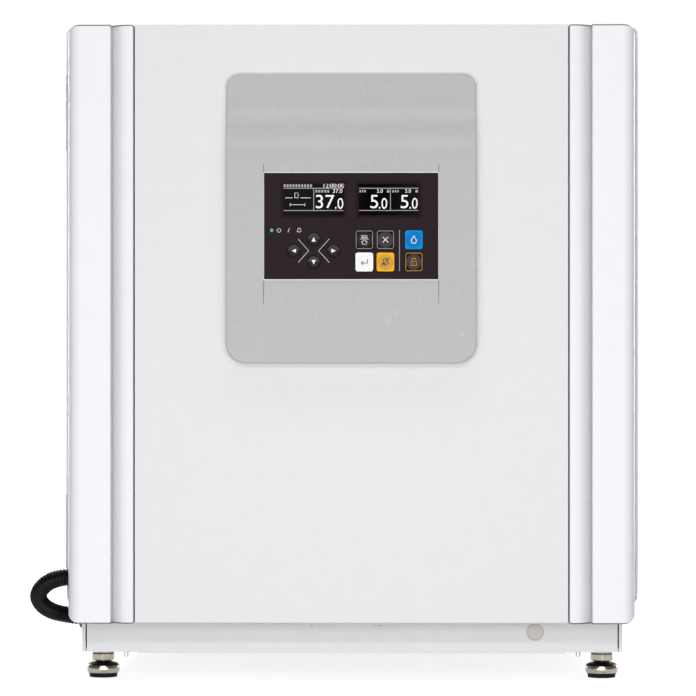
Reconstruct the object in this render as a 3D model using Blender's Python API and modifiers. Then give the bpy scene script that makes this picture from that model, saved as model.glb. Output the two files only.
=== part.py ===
"""Benchtop laboratory CO2 incubator of about 50 litres, as separate pieces.

Metres, +Z up. The origin is on the floor under the middle of the cabinet, and the doors face -Y.
"""

import math

import bmesh
import bpy
from mathutils import Matrix, Vector

MID_HEIGHT = 0.3000

# Cabinet
CABINET_HALF = 0.2392  # from the middle to a side panel
CABINET_FRONT = -0.2135
CABINET_BACK = 0.2615
CABINET_BOTTOM = 0.0640
CABINET_TOP = 0.5460
SHEET = 0.0015  # painted steel
CABINET_CORNERS = (0.0050, 0.0035)  # radii outside and inside the sheet
GAP = 0.0003  # between pieces that rest on each other
BACK_PLANE = CABINET_BACK - 2 * GAP  # outer face of the back panel
ON_BACK = BACK_PLANE + GAP  # where the pieces on the back begin
REAR = 0.2740  # the furthest point at the back
COVER_HALF = 0.1000
COVER_Z = (0.1200, 0.4000)
COVER_SHEET = 0.0012
LOUVRES = (5, 0.3300, 0.0100, 0.0040)  # how many, the lowest, their pitch and their height
LOUVRE_HALF = 0.0700
INLET = ((0.1180, 0.0820), (0.2000, 0.1180))  # x and z of the power module, then of its two openings
INLET_SOCKET = ((0.1260, 0.0900), (0.1520, 0.1100))
INLET_SWITCH = ((0.1700, 0.0895), (0.1900, 0.1105))
INLET_BACK = 0.2690
ROCKER_AXIS = (0.1800, 0.2672, 0.1000)
ROCKER_HALF = 0.0095
ROCKER_TILT = -10
GAS_BLOCK = ((0.1300, 0.4400), (0.1900, 0.4640))
GAS_BLOCK_BACK = 0.2660
BARB_X = (0.1450, 0.1750)

# Plinth and feet
PLINTH_HALF = 0.2266
PLINTH_FRONT = -0.2105
PLINTH_BACK = 0.2500
PLINTH_BOTTOM = 0.0230
PLINTH_WALL = 0.0030
PLINTH_MIDDLE = 0.1790  # half the length of the lower middle stretch
PLINTH_DROP = 0.0013
PANEL_GAP = 0.0012  # at each end of the front panel
PANEL_Y = (-0.2110, -0.2090)
PLUG = (0.1534, 0.0398)  # x and z of the plug in the front panel
PLUG_RADIUS = 0.0073
FOOT_X = 0.2105
FOOT_Y = (-0.1880, 0.2150)
FOOT_STEM = 0.0044
FOOT_HOLE = 0.0050
FOOT_HEXAGON = 0.0104
FOOT_HEXAGON_Z = (0.0141, 0.0210)

# Chamber, measured inside
CHAMBER_HALF = 0.1750
CHAMBER_FRONT = -0.1950
CHAMBER_BACK = 0.1850
CHAMBER_FLOOR = 0.1130
CHAMBER_CEILING = 0.4880
CHAMBER_SHEET = 0.0010
CHAMBER_CORNER = 0.0120
FOAM_GAP = 0.0015  # between the chamber and its insulation
FLANGE = 0.0215  # the chamber's rim, outwards from its mouth
MOUTH = 0.0225  # the front frame's mouth, outwards from the chamber's
MOUTH_CORNER = 0.0030
SEAL = (0.0030, 0.0110)  # the inner seal, outwards from the chamber's mouth

# Outer door
DOOR_HALF = 0.2340
DOOR_FRONT = -0.2620
DOOR_BACK = -0.2195
DOOR_BOTTOM = 0.0505
DOOR_TOP = 0.5440
DOOR_CORNER = 0.0095
SKIN_HALF = 0.1783
CHANNEL_EDGE = 0.1983  # where the trim's face drops into the grip channel
CHANNEL_DEPTH = 0.0105
TRIM_ROUNDING = 0.0105
PAN_HALF = 0.2300
PAN_FRONT = -0.2480  # front rim of the inner pan
PAN_INSET = 0.0020  # insulation behind the pan's walls
SKIN_STEP = 0.0005  # the skin's face behind the trims'
GASKET_MARGINS = (0.0190, 0.0295)  # inwards from the door's edge
GASKET_RISE = 0.0065
HINGE_AXIS = (-0.2368, -0.2165)
HINGE_BARREL = 0.0027
HINGE_LEAF = 0.0014
HINGE_LEAF_END = -0.2175
HINGE_PIN = 0.0014
HINGE_Z = ((0.0943, 0.1549), (0.4435, 0.5055))

# Inner glass door
GLASS_HALF = 0.1918
GLASS_FRONT = -0.2045
GLASS_BACK = -0.1995
GLASS_HINGE = (-0.1890, -0.2020)
GLASS_CORNER = 0.0060
GLASS_MARGIN = 0.0160  # glass beyond the chamber's mouth, above and below
LATCH = (0.1780, 0.3000)  # x and z of its axis
LATCH_SHAFT = 0.0038
LATCH_KNOB = 0.0090
LATCH_REACH = 0.0185
EAR_SHEET = 0.0035
RAIL_SIZE = (0.0050, 0.0052)  # its width, and its left edge outwards from the glass

# Control unit on the door
HOUSING_HALF = 0.1024
HOUSING_BOTTOM = 0.2654
HOUSING_TOP = 0.5023
HOUSING_CORNERS = (0.0100, 0.0165)  # radii above and below
HOUSING_FACE = -REAR
HOUSING_UPPER_FACE = -0.2690
HOUSING_STEP = (0.4300, 0.4840)  # heights between which the face steps back
HOUSING_WALL = 0.0025
HOUSING_LEDGE = 0.0080  # solid rim round the hollow
OVERLAY_LEDGE = 0.0060
OVERLAY_HALF = 0.0713
OVERLAY_Z = (0.3342, 0.4211)
OVERLAY_FRONT = -0.2732
OVERLAY_BACK = -0.2725
RECESS_FLOOR = -0.2722
RECESS_Z = (0.3121, 0.4293)  # where the recess runs out, below and above the overlay
SCREEN_SIZE = (0.0513, 0.0276)
SCREEN_X = (-0.03085, 0.03085)
SCREEN_Z = 0.3993
BOARD = ((-0.0620, 0.3420), (0.0620, 0.4145))
BOARD_BACK = -0.2644
BOARD_SHEET = 0.0016
KEY_FRONT = -0.2737
KEY_BACK = -0.2690
ARROW_CENTRE = (-0.0307, 0.3574)
ARROW_REACH = (0.01625, 0.0094)
ARROW_RADIUS = 0.0056
SQUARE_KEY = (0.0144, 0.0154)
SQUARE_X = (0.0108, 0.0281, 0.0514)
SQUARE_Z = (0.3664, 0.3482)
SQUARE_CORNER = 0.0018
KEY_CLEARANCE = 0.0003

# Inside the chamber
SHELF_HALF = 0.1570
SHELF_Y = (-0.1520, 0.1480)
SHELF_Z = (0.2050, 0.2950, 0.3850)
SHELF_SHEET = 0.0012
SHELF_CORNER = 0.0080
SHELF_MARGIN = 0.0160  # sheet round the slots
SLOT_GAPS = (0.0100, 0.0180)  # sheet between the slots, across and along
RACK_Y = (-0.1450, 0.1450)
RACK_Z = (0.1300, 0.4750)
RACK_LEDGE = 0.1460
TRAY = ((-0.1400, -0.1450), (0.1400, 0.1300))
TRAY_DEPTH = 0.0300
TRAY_CORNER = 0.0150
FAN_Z = 0.4050
DUCT_FRONT = 0.1570
DUCT_HALF = 0.1350
DUCT_Z = (0.1300, 0.4800)
INTAKE_RADIUS = 0.0380
OUTLET_SIZE = (0.0250, 0.0060)
OUTLET_X = (-0.1125, 0.0400)  # the first and the pitch
OUTLET_Z = 0.1450
SHAFT_HOLE = 0.0055
MOTOR_RADIUS = 0.0280
MOTOR_BACK = 0.2320
MOTOR_HOLE = (0.0300, 0.2380)  # in the insulation: radius and end
LAMP_HALF = 0.1000
LAMP_CAP = 0.0180
LAMP_RADII = (0.0100, 0.0075)
LAMP_Z = 0.3000
SENSOR_PLACE = (0.1150, 0.1100)
PORT = (-0.1560, 0.4400)  # x and z of the access port
PORT_RADIUS = 0.0150
PORT_HOLE = 0.0176
PORT_WALL = 0.0012
PORT_RIM = 0.0045

# Lock under the door, and conduit between cabinet and door
LOCK = (-0.0043, -0.1880)
LOCK_PIN = (0.0032, 0.0285)  # radius and lower end
LOCK_BARREL = (0.0085, 0.0036, 0.0190)  # radius, bore and height
LOCK_NOTCH = (-0.0160, 0.0260)  # in the plinth's panel, from the lock
STRIKE_BAR = 0.0352
STRIKE_TONGUE = 0.0100
STRIKE_Y = (-0.2480, -0.1780)
STRIKE_HOLE = 0.0045
STRIKE_Z = (0.0488, 0.0502)
GLAND_Y = -0.1900
GLAND_Z = 0.0512
CONDUIT_RADIUS = 0.00715
CONDUIT_ROUTE = (
    (-0.2308, -0.1900, 0.0512),
    (-0.2350, -0.1901, 0.0513),
    (-0.2430, -0.1930, 0.0530),
    (-0.2510, -0.1970, 0.0552),
    (-0.2575, -0.2030, 0.0592),
    (-0.2615, -0.2100, 0.0645),
    (-0.2625, -0.2170, 0.0700),
    (-0.2600, -0.2240, 0.0758),
    (-0.2545, -0.2295, 0.0812),
    (-0.2480, -0.2330, 0.0846),
    (-0.2400, -0.2353, 0.0865),
    (-0.2346, -0.2354, 0.0868),
)

FINISHES = {  # colour, roughness, metallic
    "white_paint": ((0.82, 0.82, 0.83), 0.35, 0.0),
    "white_plastic": ((0.86, 0.86, 0.90), 0.35, 0.0),
    "grey_plastic": ((0.50, 0.50, 0.50), 0.45, 0.0),
    "dark_plastic": ((0.028, 0.018, 0.022), 0.35, 0.0),
    "black_plastic": ((0.010, 0.010, 0.011), 0.50, 0.0),
    "grey_rubber": ((0.30, 0.31, 0.32), 0.75, 0.0),
    "stainless": ((0.62, 0.62, 0.61), 0.28, 1.0),
    "zinc": ((0.66, 0.62, 0.50), 0.30, 1.0),
    "brass": ((0.72, 0.52, 0.22), 0.30, 1.0),
    "glass": ((0.80, 0.90, 0.88), 0.05, 0.0),
    "foam": ((0.75, 0.68, 0.45), 0.90, 0.0),
    "white_key": ((0.88, 0.88, 0.88), 0.40, 0.0),
    "blue_key": ((0.00, 0.27, 0.72), 0.40, 0.0),
    "amber_key": ((0.94, 0.46, 0.02), 0.40, 0.0),
}

for old in list(bpy.data.objects):
    bpy.data.objects.remove(old, do_unlink=True)
PARTS = bpy.data.collections.new("laboratory_incubator")
CUTTERS = bpy.data.collections.new("cutters")
for group in (PARTS, CUTTERS):
    bpy.context.scene.collection.children.link(group)


# ---- Tools ----


def paint(obj, finish):
    colour, roughness, metallic = FINISHES[finish]
    material = bpy.data.materials.new(obj.name)
    material.use_nodes = True
    shader = material.node_tree.nodes["Principled BSDF"]
    shader.inputs["Base Color"].default_value = (*colour, 1.0)
    shader.inputs["Roughness"].default_value = roughness
    shader.inputs["Metallic"].default_value = metallic
    obj.data.materials.clear()
    obj.data.materials.append(material)


def add(name, mesh, finish):
    """A part of the object, or a cutter where finish is None."""
    obj = bpy.data.objects.new(name, mesh)
    if finish is None:
        CUTTERS.objects.link(obj)
        obj.hide_render = True
        obj.display_type = "WIRE"
    else:
        PARTS.objects.link(obj)
        paint(obj, finish)
    return obj


def as_mesh(obj):
    """The object's evaluated mesh in world space, with loose caps welded."""
    bpy.context.view_layer.update()
    evaluated = obj.evaluated_get(bpy.context.evaluated_depsgraph_get())
    mesh = bpy.data.meshes.new_from_object(evaluated)
    mesh.transform(obj.matrix_world)
    build = bmesh.new()
    build.from_mesh(mesh)
    bmesh.ops.remove_doubles(build, verts=build.verts, dist=1e-6)
    bmesh.ops.recalc_face_normals(build, faces=build.faces)
    build.to_mesh(mesh)
    build.free()
    return mesh


def box(name, low, high, finish=None):
    low, high = Vector(low), Vector(high)
    build = bmesh.new()
    bmesh.ops.create_cube(build, size=1.0)
    bmesh.ops.scale(build, vec=high - low, verts=build.verts)
    mesh = bpy.data.meshes.new(name)
    build.to_mesh(mesh)
    build.free()
    obj = add(name, mesh, finish)
    obj.location = (low + high) / 2
    return obj


def combine(obj, other, operation):
    modifier = obj.modifiers.new(operation.lower(), "BOOLEAN")
    modifier.operation = operation
    modifier.object = other
    modifier.solver = "EXACT"


def arc(centre, radius, start, end, steps):
    """Points on an arc, its angles in degrees."""
    angles = [math.radians(start + (end - start) * i / steps) for i in range(steps + 1)]
    return [(centre[0] + radius * math.cos(a), centre[1] + radius * math.sin(a)) for a in angles]


def circle(centre, radius, steps=12):
    return arc(centre, radius, 0, 360, steps)[:-1]


def rectangle(low, high, radius=0.0, steps=2, lower=None):
    """Outline between two corners. The lower corners take their own radius where one is given."""
    (left, bottom), (right, top) = low, high
    if not radius:
        return [(left, bottom), (right, bottom), (right, top), (left, top)]
    lower = lower or radius
    corners = (
        (right - radius, top - radius, radius),
        (left + radius, top - radius, radius),
        (left + lower, bottom + lower, lower),
        (right - lower, bottom + lower, lower),
    )
    outline = []
    for number, (x, y, rounding) in enumerate(corners):
        outline += arc((x, y), rounding, 90 * number, 90 * number + 90, steps)
    return outline


AXIS_TURN = {  # turns an outline so that it is extruded along the axis
    "X": (math.pi / 2, 0, math.pi / 2),
    "Y": (math.pi / 2, 0, 0),
    "Z": (0, 0, 0),
}


def plate(name, outlines, axis, low, high, finish=None):
    """A flat outline with holes, extruded along an axis from low to high.

    The outlines hold (y, z) along X, (x, z) along Y and (x, y) along Z.
    """
    curve = bpy.data.curves.new(name, "CURVE")
    curve.dimensions = "2D"
    curve.fill_mode = "BOTH"
    curve.extrude = (high - low) / 2
    for outline in outlines:
        spline = curve.splines.new("POLY")
        spline.points.add(len(outline) - 1)
        for point, (u, v) in zip(spline.points, outline):
            point.co = (u, v, 0, 1)
        spline.use_cyclic_u = True
    obj = bpy.data.objects.new(name, curve)
    CUTTERS.objects.link(obj)
    obj.rotation_euler = AXIS_TURN[axis]
    obj.location["XYZ".index(axis)] = (low + high) / 2
    mesh = as_mesh(obj)
    bpy.data.objects.remove(obj, do_unlink=True)
    return add(name, mesh, finish)


def turned(name, profile, place, direction, finish=None, steps=16, ring=False):
    """A turned piece. Its profile of (radius, height) runs from the top down its outer side."""
    mesh = bpy.data.meshes.new(name)
    edges = [(i, i + 1) for i in range(len(profile) - 1)]
    if ring:
        edges.append((len(profile) - 1, 0))
    mesh.from_pydata([(r, 0, h) for r, h in profile], edges, [])
    obj = add(name, mesh, finish)
    screw = obj.modifiers.new("turn", "SCREW")
    screw.steps = steps
    screw.render_steps = steps
    screw.use_merge_vertices = True
    screw.merge_threshold = 1e-6
    screw.use_smooth_shade = True
    obj.location = place
    obj.rotation_mode = "QUATERNION"
    obj.rotation_quaternion = Vector(direction).to_track_quat("Z", "Y")
    return obj


def rod(name, start, end, radius, finish=None, steps=12):
    start, end = Vector(start), Vector(end)
    build = bmesh.new()
    bmesh.ops.create_cone(
        build, cap_ends=True, segments=steps, radius1=radius, radius2=radius, depth=(end - start).length
    )
    mesh = bpy.data.meshes.new(name)
    build.to_mesh(mesh)
    build.free()
    obj = add(name, mesh, finish)
    obj.location = (start + end) / 2
    obj.rotation_mode = "QUATERNION"
    obj.rotation_quaternion = (end - start).to_track_quat("Z", "Y")
    return obj


def hang(pieces, name, place):
    """Parents the named pieces to an empty on their joint's axis, and leaves them where they are."""
    axis = bpy.data.objects.new(name, None)
    PARTS.objects.link(axis)
    axis.location = place
    for piece in pieces:
        obj = bpy.data.objects[piece]
        obj.parent = axis
        obj.matrix_parent_inverse = Matrix.Translation(place).inverted()


OPEN_SIDES = {"-Y": (0, -1, 0), "+Y": (0, 1, 0), "+Z": (0, 0, 1)}


def tray(name, low, high, open_side, wall, finish, corner=0.0, rim=0.0, outward=False):
    """A sheet box with one open side. Its size is that of its outside, or of its inside if outward."""
    low, high = Vector(low), Vector(high)
    opening = Vector(OPEN_SIDES[open_side])
    build = bmesh.new()
    bmesh.ops.create_cube(build, size=1.0)
    bmesh.ops.scale(build, vec=high - low, verts=build.verts)
    bmesh.ops.translate(build, vec=(low + high) / 2, verts=build.verts)
    lid = [face for face in build.faces if face.normal.dot(opening) > 0.9]
    bmesh.ops.delete(build, geom=lid, context="FACES_ONLY")
    if corner:
        depth_edges = [
            edge
            for edge in build.edges
            if abs((edge.verts[1].co - edge.verts[0].co).normalized().dot(opening)) > 0.9
        ]
        bmesh.ops.bevel(build, geom=depth_edges, offset=corner, segments=2, profile=0.5, affect="EDGES")
    if rim:
        mouth = [edge for edge in build.edges if edge.is_boundary]
        grown = bmesh.ops.extrude_edge_only(build, edges=mouth)["geom"]
        middle = (low + high) / 2
        half = (high - low) / 2
        for vert in (item for item in grown if isinstance(item, bmesh.types.BMVert)):
            for axis in (0, 2):
                vert.co[axis] = middle[axis] + (vert.co[axis] - middle[axis]) * (1 + rim / half[axis])
    bmesh.ops.recalc_face_normals(build, faces=build.faces)
    floor = min(build.faces, key=lambda face: face.calc_center_median().dot(opening))
    if floor.normal.dot(opening) > 0:
        bmesh.ops.reverse_faces(build, faces=build.faces)
    mesh = bpy.data.meshes.new(name)
    build.to_mesh(mesh)
    build.free()
    obj = add(name, mesh, finish)
    solid = obj.modifiers.new("sheet", "SOLIDIFY")
    solid.thickness = wall
    solid.offset = 1 if outward else -1
    solid.use_even_offset = True
    return obj


# ---- Cabinet ----


def cabinet():
    shell = [(-CABINET_HALF, CABINET_BOTTOM), (CABINET_HALF, CABINET_TOP)]
    inside = [
        (shell[0][0] + SHEET, shell[0][1] + SHEET),
        (shell[1][0] - SHEET, shell[1][1] - SHEET),
    ]
    plate(
        "cabinet_shell",
        [rectangle(*shell, CABINET_CORNERS[0]), rectangle(*inside, CABINET_CORNERS[1])],
        "Y",
        CABINET_FRONT,
        CABINET_BACK,
        "white_paint",
    )
    low = (inside[0][0] + GAP, inside[0][1] + GAP)
    high = (inside[1][0] - GAP, inside[1][1] - GAP)
    plate(
        "back_panel",
        [rectangle(low, high, CABINET_CORNERS[1]), circle(PORT, PORT_HOLE)],
        "Y",
        BACK_PLANE - SHEET,
        BACK_PLANE,
        "white_paint",
    )
    front_frame(low, high)
    jacket = plate(
        "insulation_jacket",
        [rectangle(low, high, CABINET_CORNERS[1])],
        "Y",
        CHAMBER_FRONT + FOAM_GAP,
        BACK_PLANE - SHEET - GAP,
        "foam",
    )
    hollow = CHAMBER_SHEET + FOAM_GAP
    combine(
        jacket,
        box(
            "chamber_hollow",
            (-CHAMBER_HALF - hollow, CHAMBER_FRONT - hollow, CHAMBER_FLOOR - hollow),
            (CHAMBER_HALF + hollow, CHAMBER_BACK + hollow, CHAMBER_CEILING + hollow),
        ),
        "DIFFERENCE",
    )
    motor_hole = rod("motor_hole", (0, CHAMBER_BACK, FAN_Z), (0, MOTOR_HOLE[1], FAN_Z), MOTOR_HOLE[0])
    combine(jacket, motor_hole, "DIFFERENCE")
    port_hole = rod("port_hole", (PORT[0], CHAMBER_BACK - 0.01, PORT[1]), (PORT[0], REAR, PORT[1]), PORT_HOLE)
    combine(jacket, port_hole, "DIFFERENCE")


def front_frame(low, high):
    """The frame round the doorway, with the hook that the inner door's latch turns behind."""
    mouth_low = (-CHAMBER_HALF - MOUTH, CHAMBER_FLOOR - MOUTH)
    mouth_high = (CHAMBER_HALF + MOUTH, CHAMBER_CEILING + MOUTH)
    frame = plate(
        "front_frame",
        [rectangle(low, high, CABINET_CORNERS[1]), rectangle(mouth_low, mouth_high, MOUTH_CORNER)],
        "Y",
        CABINET_FRONT + 0.0002,
        CHAMBER_FRONT - GAP,
        "white_plastic",
    )
    edge = mouth_high[0]
    reach, overlap = 0.0035, 0.0020
    bottom, shoulder, tip = LATCH[1] - 0.0150, LATCH[1] - 0.0095, LATCH[1] + 0.0090
    front = GLASS_FRONT - 0.0115
    root = box("hook_root", (edge - reach, front, bottom), (edge + overlap, front + 0.0100, shoulder))
    lip = box("hook_lip", (edge - reach, front, bottom), (edge + overlap, front + 0.0030, tip))
    combine(frame, root, "UNION")
    combine(frame, lip, "UNION")


def plinth():
    """The base pan, its front panel and the barrel that guides the lock pin."""
    top = CABINET_BOTTOM - GAP
    pan = tray(
        "plinth_pan",
        (-PLINTH_HALF, PLINTH_FRONT, PLINTH_BOTTOM),
        (PLINTH_HALF, PLINTH_BACK, top),
        "+Z",
        PLINTH_WALL,
        "white_paint",
    )
    inner = PLINTH_HALF - PLINTH_WALL
    doorway = box(
        "plinth_doorway",
        (-inner, PLINTH_FRONT - 0.0100, PLINTH_BOTTOM - 0.0100),
        (inner, PLINTH_FRONT + PLINTH_WALL + 0.0005, top + 0.0100),
    )
    combine(pan, doorway, "DIFFERENCE")
    for x, y, _ in foot_places():
        hole = rod("stem_hole", (x, y, PLINTH_BOTTOM - 0.01), (x, y, PLINTH_BOTTOM + 0.01), FOOT_HOLE)
        combine(pan, hole, "DIFFERENCE")
    outer, bore, barrel_top = LOCK_BARREL
    sunk = PLINTH_WALL - 0.0010
    barrel = turned(
        "lock_barrel",
        [(outer, barrel_top), (outer, sunk), (bore, sunk), (bore, barrel_top)],
        (*LOCK, PLINTH_BOTTOM),
        (0, 0, 1),
        steps=12,
        ring=True,
    )
    combine(pan, barrel, "UNION")

    side = inner - PANEL_GAP
    lowest = PLINTH_BOTTOM - PLINTH_DROP
    notch = (LOCK[0] + LOCK_NOTCH[0], LOCK[0] + LOCK_NOTCH[1])
    notch_floor = STRIKE_Z[0] - 0.0025
    outline = [
        (-side, top),
        (-side, PLINTH_BOTTOM),
        (-PLINTH_MIDDLE, PLINTH_BOTTOM),
        (-PLINTH_MIDDLE, lowest),
        (PLINTH_MIDDLE, lowest),
        (PLINTH_MIDDLE, PLINTH_BOTTOM),
        (side, PLINTH_BOTTOM),
        (side, top),
        (notch[1], top),
        (notch[1], notch_floor),
        (notch[0], notch_floor),
        (notch[0], top),
    ]
    hole = circle(PLUG, PLUG_RADIUS - 0.0006)
    plate("plinth_front", [outline, hole], "Y", *PANEL_Y, "white_paint")
    neck = PLUG_RADIUS - 0.0014
    profile = [
        (0, 0.0022),
        (PLUG_RADIUS - 0.0012, 0.0020),
        (PLUG_RADIUS, 0.0012),
        (PLUG_RADIUS, GAP),
        (neck, GAP),
        (neck, -0.0060),
        (0, -0.0060),
    ]
    turned("plinth_plug", profile, (PLUG[0], PANEL_Y[0], PLUG[1]), (0, -1, 0), "grey_plastic")


def foot_places():
    """x, y and a name for each levelling foot."""
    for side, sign in (("left", -1), ("right", 1)):
        for end, y in zip(("front", "rear"), FOOT_Y):
            yield sign * FOOT_X, y, f"foot_{end}_{side}"


def feet():
    profile = [
        (0, 0.0430),
        (FOOT_STEM, 0.0430),
        (FOOT_STEM, 0.0228),
        (0.0099, 0.0228),
        (0.0099, 0.0203),
        (0.0060, 0.0203),
        (0.0060, 0.0136),
        (0.0120, 0.0131),
        (0.0137, 0.0115),
        (0.0137, 0.0040),
        (0.0118, 0.0034),
        (0.0118, 0.0000),
        (0, 0.0000),
    ]
    foot = turned("foot", profile, (0, 0, 0), (0, 0, 1), "zinc")
    low, high = FOOT_HEXAGON_Z
    hexagon = rod("foot_hexagon", (0, 0, low), (0, 0, high), FOOT_HEXAGON, steps=6)
    combine(foot, hexagon, "UNION")
    mesh = as_mesh(foot)
    bpy.data.objects.remove(foot, do_unlink=True)
    for x, y, name in foot_places():
        obj = add(name, mesh.copy(), "zinc")
        obj.location = (x, y, 0)


def rear_fittings():
    low, high = (-COVER_HALF, ON_BACK, COVER_Z[0]), (COVER_HALF, REAR, COVER_Z[1])
    cover = tray("rear_cover", low, high, "-Y", COVER_SHEET, "white_paint")
    count, lowest, pitch, height = LOUVRES
    for row in range(count):
        z = lowest + pitch * row
        slot = box("louvre", (-LOUVRE_HALF, ON_BACK, z), (LOUVRE_HALF, REAR + 0.01, z + height))
        combine(cover, slot, "DIFFERENCE")
    power_module()

    (left, bottom), (right, top) = GAS_BLOCK
    block = box("gas_inlet_block", (left, ON_BACK, bottom), (right, GAS_BLOCK_BACK, top), "brass")
    middle = (bottom + top) / 2
    for x in BARB_X:
        barb = turned(
            "gas_barb",
            [(0, 0.0100), (0.0028, 0.0100), (0.0042, 0.0060), (0.0028, 0.0060), (0.0028, -0.0020), (0, -0.0020)],
            (x, GAS_BLOCK_BACK - 0.0022, middle),
            (0, 1, 0),
            steps=10,
        )
        combine(block, barb, "UNION")

    port_depth = CABINET_BACK - CHAMBER_BACK
    inner, outer = PORT_RADIUS, PORT_RADIUS + PORT_WALL
    rim = outer + PORT_RIM
    turned(
        "access_port_sleeve",
        [
            (rim, port_depth + 0.0020),
            (rim, port_depth),
            (outer, port_depth),
            (outer, -0.0008),
            (inner, -0.0008),
            (inner, port_depth + 0.0020),
        ],
        (PORT[0], CHAMBER_BACK, PORT[1]),
        (0, 1, 0),
        "white_plastic",
        ring=True,
    )
    turned(
        "access_port_plug",
        [
            (0, 0.0100),
            (0.0185, 0.0100),
            (0.0195, 0.0085),
            (0.0195, 0.0024),
            (inner - 0.0005, 0.0024),
            (inner - 0.0015, -0.0550),
            (0, -0.0550),
        ],
        (PORT[0], CABINET_BACK, PORT[1]),
        (0, 1, 0),
        "grey_rubber",
    )


def power_module():
    outlines = [rectangle(*INLET, 0.0030), rectangle(*INLET_SOCKET, 0.0030), rectangle(*INLET_SWITCH)]
    module = plate("power_inlet", outlines, "Y", ON_BACK, INLET_BACK, "black_plastic")
    inset = 0.0020
    (left, bottom), (right, top) = INLET
    floor = box(
        "inlet_floor",
        (left + inset, ON_BACK + GAP, bottom + inset),
        (right - inset, ON_BACK + 0.0012, top - inset),
    )
    combine(module, floor, "UNION")
    section = [(-0.0020, -0.0088), (0.0035, -0.0090), (0.0022, 0), (0.0035, 0.0090), (-0.0020, 0.0088)]
    rocker = plate("power_rocker", [section], "X", -ROCKER_HALF, ROCKER_HALF, "black_plastic")
    rocker.location = ROCKER_AXIS
    rocker.rotation_euler = (math.radians(ROCKER_TILT), 0, 0)


# ---- Chamber and what is in it ----


def chamber():
    body = tray(
        "inner_chamber",
        (-CHAMBER_HALF, CHAMBER_FRONT, CHAMBER_FLOOR),
        (CHAMBER_HALF, CHAMBER_BACK, CHAMBER_CEILING),
        "-Y",
        CHAMBER_SHEET,
        "stainless",
        corner=CHAMBER_CORNER,
        rim=FLANGE,
        outward=True,
    )
    near, far = CHAMBER_BACK - 0.01, CHAMBER_BACK + 0.01
    port = rod("port_opening", (PORT[0], near, PORT[1]), (PORT[0], far, PORT[1]), PORT_HOLE)
    combine(body, port, "DIFFERENCE")
    shaft = rod("shaft_opening", (0, near, FAN_Z), (0, far, FAN_Z), SHAFT_HOLE)
    combine(body, shaft, "DIFFERENCE")
    plate(
        "inner_gasket",
        [
            rectangle(
                (-CHAMBER_HALF - grow, CHAMBER_FLOOR - grow),
                (CHAMBER_HALF + grow, CHAMBER_CEILING + grow),
                0.0080 + grow,
            )
            for grow in reversed(SEAL)
        ],
        "Y",
        GLASS_BACK + GAP,
        CHAMBER_FRONT - GAP,
        "grey_rubber",
    )


def shelf_racks():
    """Two uprights with a ledge under each shelf."""
    wall = CHAMBER_HALF - 0.0005
    face = wall - SHELF_SHEET
    bottom, top = RACK_Z
    outline = [(-wall, bottom), (-face, bottom)]
    for z in SHELF_Z:
        under = z - GAP - SHELF_SHEET
        outline += [(-face, under), (-RACK_LEDGE, under), (-RACK_LEDGE, z - GAP), (-face, z - GAP)]
    outline += [(-face, top), (-wall, top)]
    plate("shelf_rack_left", [outline], "Y", *RACK_Y, "stainless")
    mirrored = [(-x, z) for x, z in reversed(outline)]
    plate("shelf_rack_right", [mirrored], "Y", *RACK_Y, "stainless")


def shelves():
    slots = []
    columns, rows = 3, 8
    step_x = (2 * SHELF_HALF - 2 * SHELF_MARGIN) / columns
    step_y = (SHELF_Y[1] - SHELF_Y[0] - 2 * SHELF_MARGIN) / rows
    half_x, half_y = (step_x - SLOT_GAPS[0]) / 2, (step_y - SLOT_GAPS[1]) / 2
    for column in range(columns):
        for row in range(rows):
            x = -SHELF_HALF + SHELF_MARGIN + step_x * (column + 0.5)
            y = SHELF_Y[0] + SHELF_MARGIN + step_y * (row + 0.5)
            slots.append(rectangle((x - half_x, y - half_y), (x + half_x, y + half_y)))
    edge = rectangle((-SHELF_HALF, SHELF_Y[0]), (SHELF_HALF, SHELF_Y[1]), SHELF_CORNER)
    for number, z in enumerate(SHELF_Z, 1):
        plate(f"shelf_{number}", [edge, *slots], "Z", z, z + SHELF_SHEET, "stainless")
    tray(
        "humidity_tray",
        (*TRAY[0], CHAMBER_FLOOR + GAP),
        (*TRAY[1], CHAMBER_FLOOR + TRAY_DEPTH),
        "+Z",
        SHELF_SHEET,
        "stainless",
        corner=TRAY_CORNER,
    )


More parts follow.
